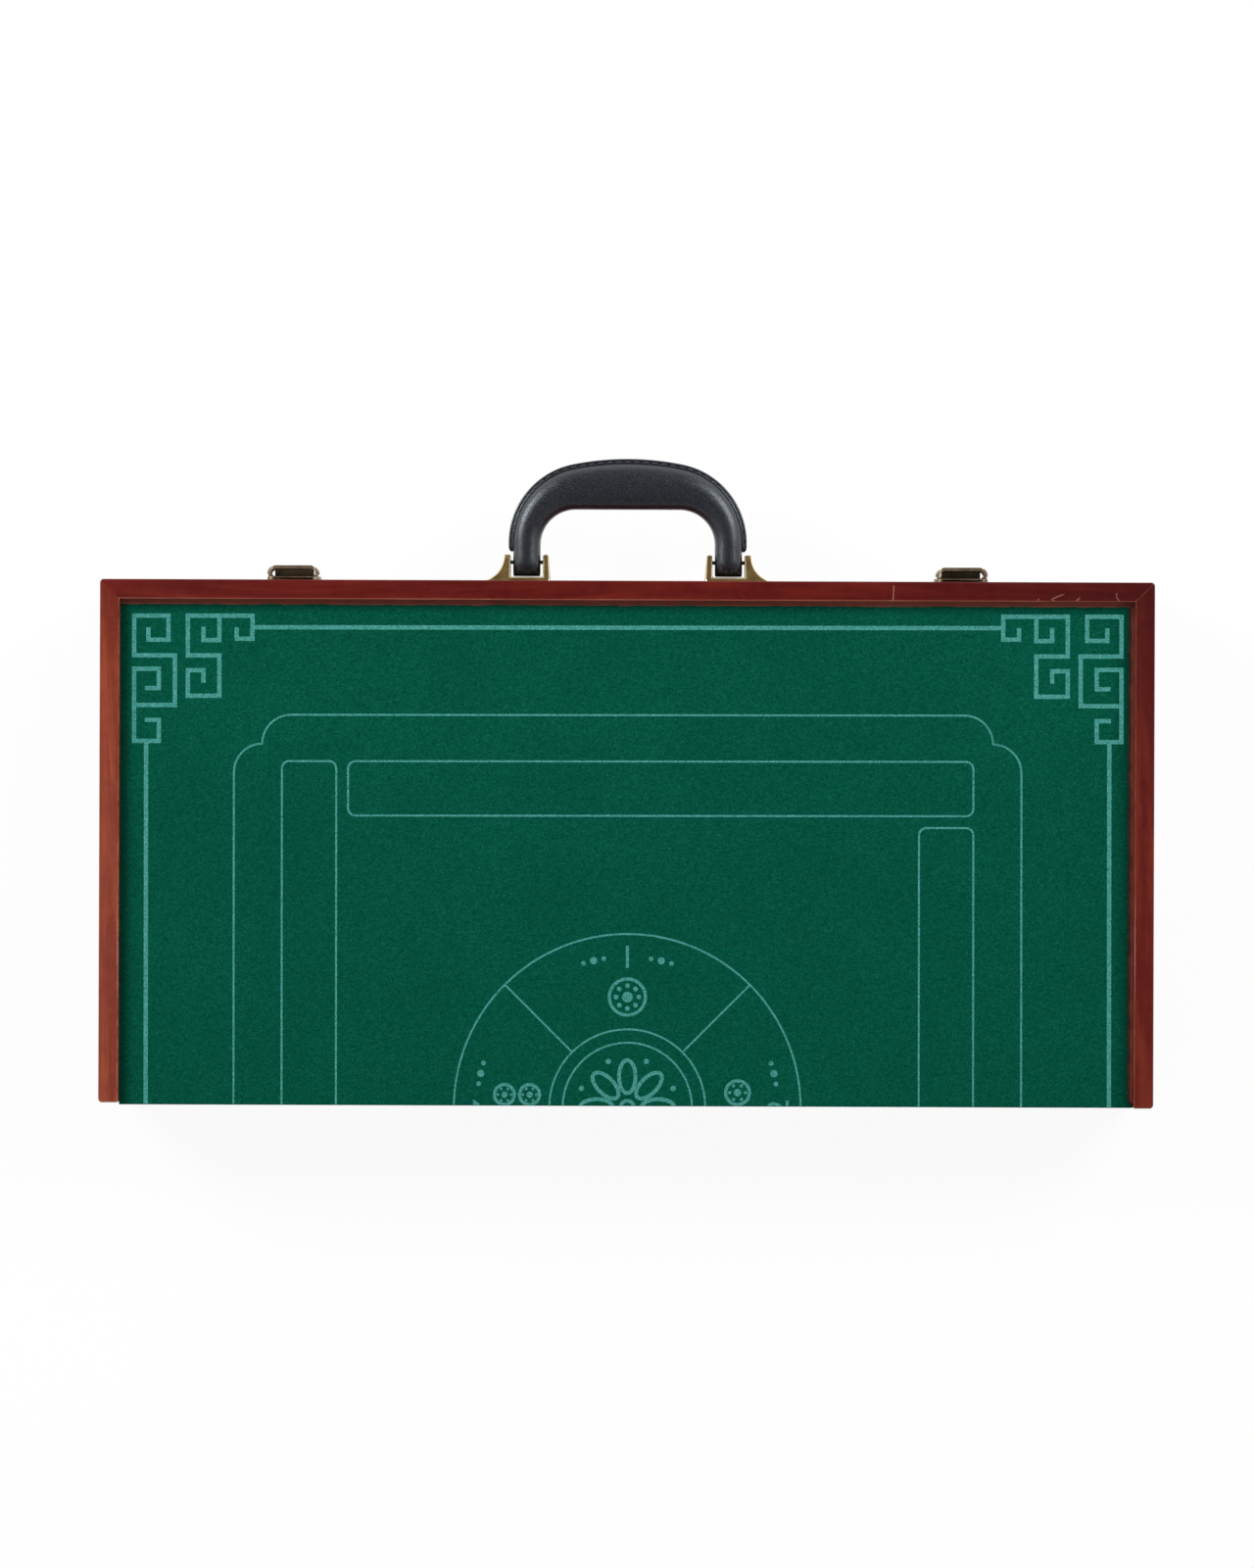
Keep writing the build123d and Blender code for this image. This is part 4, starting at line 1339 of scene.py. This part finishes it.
    def counting_ring(self, ribbon: Ribbon, centre: Point2, size: float) -> None:
        """Draw a ring with a ring of beads and a full middle, as on a circle tile.

        Args:
            ribbon: What takes the lines.
            centre: Its centre.
            size: Its outer radius.
        """
        ribbon.arc(centre, size - self.RING_LINE / 2, 0.0, 360.0, self.RING_LINE)
        beads = 8 if size > self.LARGE_RING else 6
        for i in range(beads):
            ribbon.disc(polar(size * self.BEAD_PLACE, math.tau * i / beads, centre),
                        size * self.BEAD)
        ribbon.disc(centre, size * self.HUB)

    def rosette(self, ribbon: Ribbon) -> None:
        """Draw a plain flower in the centre, with a dot between each two petals.

        Args:
            ribbon: What takes the lines.
        """
        length, breadth = self.petal_size
        turns = [math.pi * k / self.petal_sides for k in range(self.petal_sides + 1)]
        petal = [(self.petal_centre - length * math.cos(t), breadth * math.sin(t)) for t in turns]
        petal += [(p[0], -p[1]) for p in reversed(petal[1:-1])]
        for i in range(self.petals):
            a = math.tau * i / self.petals
            ribbon.line([rotated(p, a) for p in petal], self.petal_line, True)
            ribbon.disc(polar(self.petal_dots[0], a + math.pi / self.petals), self.petal_dots[1])
        ribbon.arc(ORIGIN, self.eye[0], 0.0, 360.0, self.eye[1])

    def on_felt(self, u: float, v: float, half: Half, lift: float) -> Point3:
        """Where a point of the board lies on a half's felt.

        Args:
            u: Along the fold.
            v: Away from the fold, at least 0.
            half: The half.
            lift: How far above the felt.

        Returns:
            The point in the CAD frame.
        """
        r = self.felt.fold_radius
        if v >= r:
            y, z = self.felt.fold - v, self.felt.top + lift
        else:
            lean = math.asin(min(1.0, (r - v) / r))
            y = self.felt.fold - r + (r + lift) * math.sin(lean)
            z = self.felt.top - r + (r + lift) * math.cos(lean)
        return (-u, y, half.height(z))

    def build(self, half: Half) -> list[Object]:
        """Lay the pattern on one half.

        Args:
            half: The half.

        Returns:
            The printed pieces.
        """
        pieces: list[Object] = []
        parts: tuple[tuple[str, Callable[[Ribbon], None]], ...] = (
            ("border_print", self.frets), ("frame_print", self.lobed_frame),
            ("wall_print", self.walls), ("dial_print", self.dial),
        )
        sign = 1.0 if half is Half.UPPER else -1.0
        c, s = (self.stretch * f(math.radians(self.skew)) for f in (math.cos, math.sin))
        for name, draw in parts:
            ribbon = self.drawn.get(name)
            if ribbon is None:
                ribbon = self.drawn[name] = Ribbon()
                draw(ribbon)
            points: list[Point3] = []
            faces: list[list[int]] = []
            for number, polygon in enumerate(ribbon.polygons):
                flipped = [(p[0], sign * p[1]) for p in polygon]
                turned = [(u * c - v * s + self.shift[0], u * s + v * c + self.shift[1])
                          for u, v in flipped]
                height = self.lift + self.LEVEL_STEP * (number % self.LEVELS)
                for low, high in self.BANDS:
                    piece = cut(turned, low, high)
                    if piece:
                        start = len(points)
                        points += [self.on_felt(u, v, half, height) for u, v in piece]
                        faces.append(list(range(start, len(points))))
            made = mesh_piece(f"{half.value}_{name}", points, self.facing(points, faces, half),
                              [self.ink])
            pieces.append(place_piece(made, half.body, "playing_felt"))
        return pieces

    @staticmethod
    def facing(points: Sequence[Point3], faces: list[list[int]], half: Half) -> list[list[int]]:
        """Turn faces so that they look away from the felt.

        Args:
            points: The corners.
            faces: The faces.
            half: The half that they lie on.

        Returns:
            The turned faces.
        """
        up = 1.0 if half is Half.UPPER else -1.0
        turned = []
        for face in faces:
            corners = [Vector(points[i]) for i in face]
            area = sum(((b - corners[0]).cross(c - corners[0])
                        for b, c in zip(corners[1:], corners[2:])), Vector())
            turned.append(face if area.z * up > 0 else face[::-1])
        return turned


@dataclass(frozen=True)
class HandleOutline:
    """The handle's outer line as (x, height above the pins): straight legs, shoulders and crown."""

    half_span: float = 76.25
    rise: float = 66.4
    crown_radius: float = 178.0
    shoulder_height: float = 12.75
    opening: float = 33.65
    opening_radius: float = 22.5
    leg_inner: float = 55.7

    # A ray's length, and how often it is halved to find where it meets the line.
    RAY: ClassVar[float] = 120.0
    HALVINGS: ClassVar[int] = 40

    @property
    def drop(self) -> float:
        """Height of the shoulders' centres above the crown's centre."""
        return self.crown_radius - self.rise + self.shoulder_height

    @property
    def shoulder_radius(self) -> float:
        """Radius of the shoulder arcs, which meet the crown smoothly."""
        gap = self.crown_radius**2 - self.drop**2 - self.half_span**2
        return gap / (2.0 * (self.crown_radius - self.half_span))

    @property
    def join_angle(self) -> float:
        """Half the crown arc's angle in radians."""
        return math.atan2(self.half_span - self.shoulder_radius, self.drop)

    def walk(self, inset: float, foot: float, step: float) -> list[tuple[Vector, Vector]]:
        """Follow the line from the left foot to the right one.

        Args:
            inset: Distance inside the outer line.
            foot: Height where it starts and ends.
            step: Spacing of the points.

        Returns:
            Pairs of a point and the direction outward, as 2-D vectors.
        """
        shoulder, crown = self.shoulder_radius - inset, self.crown_radius - inset
        centre = Vector((self.half_span - self.shoulder_radius, self.shoulder_height))
        top = Vector((0.0, self.rise - self.crown_radius))
        right: list[tuple[Vector, Vector]] = []
        straight = max(1, round((self.shoulder_height - foot) / step))
        for i in range(straight):
            level = foot + (self.shoulder_height - foot) * i / straight
            right.append((Vector((self.half_span - inset, level)), Vector((1.0, 0.0))))
        arc = math.pi / 2 - self.join_angle
        count = round(self.shoulder_radius * arc / step)
        for i in range(count):
            a = arc * i / count
            out = Vector((math.cos(a), math.sin(a)))
            right.append((centre + out * shoulder, out))
        count = round(self.crown_radius * self.join_angle / step)
        for i in range(count + 1):
            a = self.join_angle * (1.0 - i / count)
            out = Vector((math.sin(a), math.cos(a)))
            right.append((top + out * crown, out))
        left = [(MIRROR @ p, MIRROR @ n) for p, n in right]
        return left + right[-2::-1]

    def inside(self, point: Vector, inset: float) -> bool:
        """Whether a point lies inside the line.

        Args:
            point: (x, height).
            inset: Distance inside the outer line.

        Returns:
            True if it does.
        """
        x, level = abs(point.x), point.y
        if level <= self.shoulder_height:
            return x <= self.half_span - inset
        low = self.rise - self.crown_radius
        if math.atan2(x, level - low) < self.join_angle:
            return math.hypot(x, level - low) <= self.crown_radius - inset
        centre = self.half_span - self.shoulder_radius
        return math.hypot(x - centre, level - self.shoulder_height) <= self.shoulder_radius - inset

    def reach(self, start: Vector, out: Vector, inset: float) -> Vector:
        """Where a ray from inside meets the line.

        Args:
            start: A point inside.
            out: The ray's direction.
            inset: Distance inside the outer line.

        Returns:
            The meeting point.
        """
        near, far = 0.0, self.RAY
        for _ in range(self.HALVINGS):
            middle = (near + far) / 2
            if self.inside(start + out * middle, inset):
                near = middle
            else:
                far = middle
        return start + out * near


@dataclass
class Handle:
    """The stitched leather handle: body, seam strip round its outer edge, and stitches."""

    leather: Material
    edge_leather: Material
    thread: Material
    outline: HandleOutline = HandleOutline()
    y_pin: float = HANDLE_PIN
    z_middle: float = 65.0
    thickness: float = 18.1
    strip_width: float = 2.9
    strip_thickness: float = 3.6
    strip_foot: float = 6.9
    squareness: float = 2.35
    stitch_pitch: float = 5.8
    stitch_length: float = 4.0
    stitch_radius: float = 0.38
    stitch_inset: float = 1.95
    groove: float = 0.62
    around: int = 28
    thinning: float = 0.12
    bend_steps: int = 24
    crown_steps: int = 14
    uneven_scale: float = 0.12
    walk_step: float = 1.6
    sewing_step: float = 0.1
    stitch_start: float = 0.8
    stitch_bury: float = 0.3
    stitch_dip: float = 0.35

    # The sections of a leg: degrees round its rounded end, then heights above the pins.
    END_TURNS: ClassVar[tuple[int, ...]] = (86, 76, 66, 56, 46, 36, 26, 16, 8)
    LEG_LEVELS: ClassVar[tuple[float, ...]] = (0.0, 2.0, 4.0, 6.0, 8.0, 9.8)
    # How far a leg narrows at its very end, and a place inside the leg.
    TUCK: ClassVar[float] = 0.25
    LEG_MIDDLE: ClassVar[float] = 60.0
    # The strip's size at its ends, by the number of sections from the end.
    END_SIZES: ClassVar[dict[int, float]] = {0: 0.55, 1: 0.9}
    # Sides and lengths of a stitch.
    STITCH_SIDES: ClassVar[int] = 7
    STITCH_STEPS: ClassVar[int] = 6

    def point(self, flat: Vector, z: float) -> Point3:
        """A point of the handle's own plane, at a height from its middle, in the CAD frame."""
        return (flat.x, self.y_pin - flat.y, self.z_middle + z)

    def stations(self) -> list[tuple[Vector, Vector, float]]:
        """The body's sections from the left leg's end to the right one's.

        Returns:
            The inner point, the outer point and half the thickness of each.
        """
        shape, half = self.outline, self.thickness / 2
        right: list[tuple[Vector, Vector, float]] = []
        levels = [-half * math.sin(math.radians(a)) for a in self.END_TURNS]
        for level in (*levels, *self.LEG_LEVELS):
            thick = math.sqrt(half**2 - min(level, 0.0) ** 2)
            tuck = self.TUCK * (min(level, 0.0) / half) ** 6
            inner = Vector((shape.leg_inner + tuck, level))
            outer = shape.reach(Vector((self.LEG_MIDDLE, level)), Vector((1.0, 0.0)),
                                self.strip_width)
            outer.x -= tuck
            right.append((inner, outer, thick))
        centre = Vector((shape.leg_inner - shape.opening_radius,
                         shape.opening - shape.opening_radius))
        for i in range(self.bend_steps + 1):
            a = math.pi / 2 * i / self.bend_steps
            out = Vector((math.cos(a), math.sin(a)))
            inner = centre + out * shape.opening_radius
            right.append((inner, shape.reach(inner, out, self.strip_width), half))
        for i in range(1, self.crown_steps + 1):
            inner = Vector((centre.x * (1.0 - i / self.crown_steps), shape.opening))
            right.append((inner, shape.reach(inner, Vector((0.0, 1.0)), self.strip_width), half))
        left = [(MIRROR @ a, MIRROR @ b, t) for a, b, t in right]
        return left + right[-2::-1]

    def body(self) -> Object:
        """Make the body, a full oval in section, thicker at the crown, with rounded leg ends.

        Returns:
            The body.
        """
        around = self.around
        points: list[Point3] = []
        for inner, outer, thick in self.stations():
            middle, reach = (inner + outer) / 2, (outer - inner) / 2
            for i in range(around):
                a = math.tau * i / around
                c, s = math.cos(a), math.sin(a)
                along = math.copysign(abs(c) ** (2 / self.squareness), c)
                up = math.copysign(abs(s) ** (2 / self.squareness), s)
                flat = middle + reach * along
                place = Vector((flat.x, flat.y, up * 9.0)) * self.uneven_scale
                uneven = self.thinning * noise.noise(place)
                points.append(self.point(flat, (thick - self.thinning + uneven) * up))
        faces = tube(len(points) // around, around)
        made = mesh_piece("handle_body", points, faces, [self.leather], 70.0)
        smoother = made.modifiers.new("rounding", "SUBSURF")
        smoother.levels = smoother.render_levels = 1
        place_piece(made, "handle", "black_leather", "handle_grip")
        return made

    def strip(self) -> Object:
        """Make the seam strip, with a shallow channel for the stitches on both sides.

        Returns:
            The strip.
        """
        half, width = self.strip_thickness / 2, self.strip_width
        section = [
            (width + 0.7, half - 0.1), (width, half - 0.05),
            (self.stitch_inset + self.groove, half), (self.stitch_inset, half - 0.55),
            (self.stitch_inset - self.groove, half), (0.75, half - 0.04), (0.3, half - 0.3),
            (0.05, half - 0.85), (0.0, 0.12),
        ]
        section += [(inset, -z) for inset, z in reversed(section)]
        walked = self.outline.walk(0.0, self.strip_foot, self.walk_step)
        points: list[Point3] = []
        for number, (flat, out) in enumerate(walked):
            ends = min(number, len(walked) - 1 - number)
            shrink = self.END_SIZES.get(ends, 1.0)
            for inset, z in section:
                depth = width + (inset - width) * (shrink if inset < width else 1.0)
                points.append(self.point(flat - out * depth, z * shrink))
        faces = [turned_over(face) for face in tube(len(walked), len(section))]
        made = mesh_piece("handle_edge_strip", points, faces, [self.edge_leather], 60.0)
        return place_piece(made, "handle", "black_leather", "handle_seam_strip")

    def stitches(self) -> Object:
        """Sew one line of stitches along the strip on both sides.

        Returns:
            The stitches.
        """
        walked = self.outline.walk(self.stitch_inset, self.strip_foot + self.stitch_start,
                                   self.sewing_step)
        lengths = [0.0]
        for (a, _), (b, _) in zip(walked, walked[1:]):
            lengths.append(lengths[-1] + (b - a).length)
        count = int(lengths[-1] / self.stitch_pitch)
        pitch = lengths[-1] / count
        points: list[Point3] = []
        faces: list[Face] = []
        sides, steps = self.STITCH_SIDES, self.STITCH_STEPS
        for side in (-1.0, 1.0):
            for number in range(count):
                middle = pitch * (number + 0.5)
                start = len(points)
                for k in range(steps + 1):
                    share = 2.0 * k / steps - 1.0
                    along = middle + share * self.stitch_length / 2
                    index = min(range(len(walked)), key=lambda i: abs(lengths[i] - along))
                    flat, out = walked[index]
                    thick = self.stitch_radius * math.sqrt(max(0.05, 1.0 - abs(share) ** 3))
                    level = self.strip_thickness / 2 - self.stitch_bury
                    level -= self.stitch_dip * share**4
                    for i in range(sides):
                        a = math.tau * i / sides
                        points.append(self.point(flat + out * thick * math.cos(a),
                                                 side * (level + thick * math.sin(a))))
                faces += [f if side > 0 else f[::-1] for f in tube(steps + 1, sides, start)]
        made = mesh_piece("handle_stitches", points, faces, [self.thread], 70.0)
        return place_piece(made, "handle", "black_leather")

    def build(self) -> None:
        """Make all the leather work."""
        self.body()
        self.strip()
        self.stitches()


@dataclass
class Fittings:
    """All the metal: handle brackets and pins, latches, catches, hinges and their screws."""

    # What the latches have on each side, with the rounding and whether it stands on the wood.
    LATCH: ClassVar[tuple[tuple[str, float, bool], ...]] = (
        ("base", 0.25, True), ("lever", 0.2, True), ("link", 0.2, False), ("catch", 0.25, True),
    )

    cad: CadFrame
    brass: Material
    latch_brass: Material
    rubbed: Material
    steel: Material

    def build(self) -> None:
        """Dress every fitting."""
        for side in ("left", "right"):
            self.cad.worked(f"{side}_handle_bracket", self.brass, 0.8, 3, self.rubbed,
                            seated=True)
            self.cad.worked(f"{side}_handle_pin", self.steel, 0.2)
            for piece, edge, seated in self.LATCH:
                self.cad.worked(f"{side}_latch_{piece}", self.latch_brass, edge, 2, self.rubbed,
                                seated=seated)
            for pin in ("lever_pin", "link_pin"):
                self.cad.worked(f"{side}_latch_{pin}", self.steel, 0.15)
        for place in ("left", "middle", "right"):
            for leaf in ("lower", "upper"):
                self.cad.worked(f"{place}_hinge_{leaf}_leaf", self.brass, 0.12, 2, self.rubbed)
            self.cad.worked(f"{place}_hinge_pin", self.steel, 0.15)
        for screws in ("latch_screws", "catch_screws"):
            self.cad.worked(screws, self.brass, 0.08, 2, self.rubbed)
        for steelware in ("handle_screws", "handle_washers"):
            self.cad.worked(steelware, self.steel, 0.12)


@dataclass(frozen=True)
class Softbox:
    """One lamp: a lit rectangle that looks at a point."""

    name: str
    place: Point3
    target: Point3
    size: Point2
    power: float
    colour: Point3 = (1.0, 1.0, 1.0)

    def build(self) -> None:
        """Add the lamp; it isn't seen itself."""
        lamp = bpy.data.lights.new(self.name, "AREA")
        lamp.shape = "RECTANGLE"
        lamp.size, lamp.size_y = self.size
        lamp.energy = self.power
        lamp.color = self.colour
        made = bpy.data.objects.new(self.name, lamp)
        made.location = self.place
        look = Vector(self.target) - Vector(self.place)
        made.rotation_euler = look.to_track_quat("-Z", "Y").to_euler()
        made.visible_camera = False
        bpy.context.scene.collection.objects.link(made)


@dataclass(frozen=True)
class Studio:
    """A white floor, a pale surround and softboxes, with the camera straight above.

    Places and sizes are in metres, those of the floor in millimetres. Left and right in the names
    of the softboxes are the camera's.
    """

    camera_height: float = 2.89
    view_height: float = 0.995
    face_level: float = 0.09
    roll: float = 0.21
    aim: Point2 = (-0.0001, 0.0002)
    floor_half: float = 30000.0
    floor_level: float = -0.3
    floor_tones: Point2 = (0.80, 0.83)
    floor_shade: float = 0.09
    floor_glow: float = 0.925
    sensor: float = 36.0
    softboxes: tuple[Softbox, ...] = (
        Softbox("left_softbox", (1.62, -1.0, 1.3), (0.0, 0.0, 0.05), (0.8, 1.1), 32.0,
                (0.97, 0.985, 1.0)),
        Softbox("right_softbox", (-1.35, -1.0, 1.45), (0.0, 0.0, 0.05), (0.8, 1.1), 25.0,
                (0.97, 0.985, 1.0)),
        Softbox("left_panel", (0.95, 0.25, 2.1), (0.3, 0.1, 0.05), (0.55, 1.2), 1.5,
                (1.0, 0.95, 0.9)),
        Softbox("near_panel", (-0.72, 0.75, 2.1), (-0.3, 0.15, 0.05), (0.5, 0.6), 0.9,
                (0.96, 0.98, 1.0)),
    )

    def floor(self) -> None:
        """Lay the floor: white to the eye, with the object's shadow."""
        graph = ShaderGraph("studio_floor")
        speck = graph.noise(8.0, 4.0, 0.6)
        tone = graph.mix(graph.fit(speck, 0.3, 0.7), *((v, v, v, 1.0) for v in self.floor_tones))
        lit = graph.node("ShaderNodeBsdfDiffuse", 0, {"Color": tone})
        faint = graph.node("ShaderNodeBsdfDiffuse", 0, {"Color": (*[self.floor_shade] * 3, 1.0)})
        glow = graph.node("ShaderNodeEmission", 0, {"Strength": self.floor_glow})
        seen = graph.node("ShaderNodeAddShader", 0, {0: faint, 1: glow})
        rays = graph.node("ShaderNodeLightPath", 0, {}).node.outputs
        eye = graph.math("MAXIMUM", rays["Is Camera Ray"], graph.math(
            "MAXIMUM", rays["Is Glossy Ray"], rays["Is Transmission Ray"]))
        either = graph.node("ShaderNodeMixShader", 0, {0: eye, 1: lit, 2: seen})
        graph.join(either, graph.tree.nodes["Material Output"].inputs["Surface"])
        graph.tree.nodes.remove(graph.shader)
        rim = [(x * self.floor_half, y * self.floor_half, self.floor_level)
               for x, y in ((-1, -1), (1, -1), (1, 1), (-1, 1))]
        made = mesh_piece("studio_floor", rim, [(0, 1, 2, 3)], [graph.material])

    def surround(self) -> None:
        """Give the world a pale surround that darkens towards the ceiling."""
        world = bpy.data.worlds.new("studio")
        bpy.context.scene.world = world
        world.use_nodes = True
        tree = world.node_tree
        direction = tree.nodes.new("ShaderNodeTexCoord")
        parts = tree.nodes.new("ShaderNodeSeparateXYZ")
        fade = tree.nodes.new("ShaderNodeMapRange")
        fade.interpolation_type = "SMOOTHSTEP"
        for key, value in (("From Min", 0.1), ("From Max", 0.8), ("To Min", 1.0),
                           ("To Max", 0.05)):
            fade.inputs[key].default_value = value
        sky = tree.nodes["Background"]
        sky.inputs["Color"].default_value = (1.0, 1.0, 1.0, 1.0)
        tree.links.new(direction.outputs["Generated"], parts.inputs[0])
        tree.links.new(parts.outputs["Z"], fade.inputs["Value"])
        tree.links.new(fade.outputs["Result"], sky.inputs["Strength"])

    def camera(self) -> None:
        """Hang the camera over the case, turned so that the handle is at the upper edge."""
        lens = bpy.data.cameras.new("camera")
        made = bpy.data.objects.new("camera", lens)
        bpy.context.scene.collection.objects.link(made)
        lens.sensor_width = self.sensor
        lens.lens = self.sensor * (self.camera_height - self.face_level) / self.view_height
        lens.clip_start, lens.clip_end = 0.1, 100.0
        made.location = (self.aim[0], self.aim[1], self.camera_height)
        made.rotation_euler = (0.0, 0.0, math.radians(180.0 + self.roll))
        bpy.context.scene.camera = made

    def build(self) -> None:
        """Set up everything round the object."""
        self.floor()
        self.surround()
        self.camera()
        for softbox in self.softboxes:
            softbox.build()
        bpy.context.scene.view_settings.view_transform = "Standard"


class Stain(Enum):
    """The stains of the rails, as a light, a dark and a deepest colour; the deepest is painted
    shade at the darker end of a rail.
    """

    RED = (paint(114, 32, 23), paint(90, 16, 13), paint(56, 5, 9))
    ORANGE = (paint(158, 72, 46), paint(128, 48, 30), paint(92, 18, 16))
    BROWN = (paint(126, 46, 32), paint(98, 26, 20), paint(60, 3, 7))


def rail_finishes(half: Half) -> dict[str, Material]:
    """Stain and lacquer the three rails of one half.

    Args:
        half: The half.

    Returns:
        The finish of each rail by its name.
    """
    shift = 0.0 if half is Half.UPPER else 5.3
    nicks = (
        (-168.9, -126.8, -168.6, -116.9, 0.5), (-261.2, -118.6, -259.8, -116.6, 0.3),
        (-277.3, -121.5, -268.6, -117.8, 0.4), (-268.8, -118.0, -271.7, -116.6, 0.4),
        (-287.3, -119.2, -284.5, -116.8, 0.45), (-310.2, -122.3, -310.5, -119.4, 0.35),
        (-310.3, -119.8, -312.1, -116.8, 0.5), (-334.0, -127.6, -322.9, -116.7, 0.3),
    )
    boards = (
        ("handle_rail", Grain.LONG, Stain.RED, -360.0, -120.0, 1.0,
         nicks if half is Half.UPPER else ()),
        ("left_rail", Grain.SHORT, Stain.BROWN, -130.0, 60.0, 2.7, ()),
        ("right_rail", Grain.SHORT, Stain.ORANGE, -140.0, -70.0, 4.1, ()),
    )
    return {
        rail: LacqueredWood(f"{half.value}_{rail}_lacquer", grain, *stain.value, dark_end,
                            light_end, seed + shift, scratches).build()
        for rail, grain, stain, dark_end, light_end, seed, scratches in boards
    }


def corners(box: tuple[Vector, Vector]) -> list[list[float]]:
    """A box as plain lists of numbers."""
    return [list(box[0]), list(box[1])]


def main() -> None:
    """Build the case's looks piece by piece."""
    logging.basicConfig(level=logging.INFO, format="%(message)s")
    cad = CadFrame.load()
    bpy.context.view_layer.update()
    for spare in list(bpy.data.objects):
        if spare.type in {"CAMERA", "LIGHT"} or spare.name == "Cube":
            bpy.data.objects.remove(spare)
    Studio().build()

    brass = AntiqueBrass("antique_brass_face", paint(150, 124, 78), paint(120, 97, 60),
                         0.36).build()
    latch_brass = AntiqueBrass("latch_brass_face", paint(158, 142, 120), paint(122, 108, 90),
                               0.4).build()
    # Brass rubbed bright on the edges, lightened further as a painted highlight.
    rubbed = AntiqueBrass("rubbed_brass_edge", paint(250, 236, 200), paint(226, 206, 160),
                          0.24).build()
    steel = DarkSteel("dark_steel", paint(92, 88, 84), 0.35).build()
    # A lighter lacquer for the rails' inner arris: a painted highlight.
    worn_edge = LacqueredWood("worn_rail_edge", Grain.LONG, paint(196, 118, 94),
                              paint(150, 70, 52), paint(110, 40, 34), -360.0, -120.0, 6.2).build()
    inside_wood = PlainWood("varnished_wood", paint(176, 122, 78), paint(140, 88, 52)).build()
    panel_wood = PlainWood("stained_panel", paint(196, 104, 82), paint(152, 72, 56), True).build()
    cloth = FeltCloth("green_felt", paint(0, 88, 68), paint(0, 64, 47), paint(32, 122, 96))
    felt = cloth.build()
    ink = PrintInk("pale_print", paint(71, 152, 145), paint(120, 194, 186), cloth).build()
    lining = FeltCloth("lining_felt", paint(8, 80, 58), paint(4, 62, 44), paint(30, 100, 76),
                       0.2, False).build()

    for half in Half:
        Tray(half, cad, rail_finishes(half), worn_edge, inside_wood, panel_wood, brass,
             rubbed).build()
        sheet = FeltSheet(half, felt)
        prints = BoardPrint(ink, sheet).build(half)
        sheet.build(prints)
        Lining(half, lining).build()

    leather = GrainedLeather("pebbled_leather", paint(13, 13, 17), 2100.0, 0.14).build()
    edge_leather = GrainedLeather("edge_leather", paint(12, 12, 15), 2100.0, 0.05).build()
    thread = SewingThread("waxed_thread", paint(86, 89, 96)).build()
    Handle(leather, edge_leather, thread).build()
    Fittings(cad, brass, latch_brass, rubbed, steel).build()


if __name__ == "__main__":
    main()
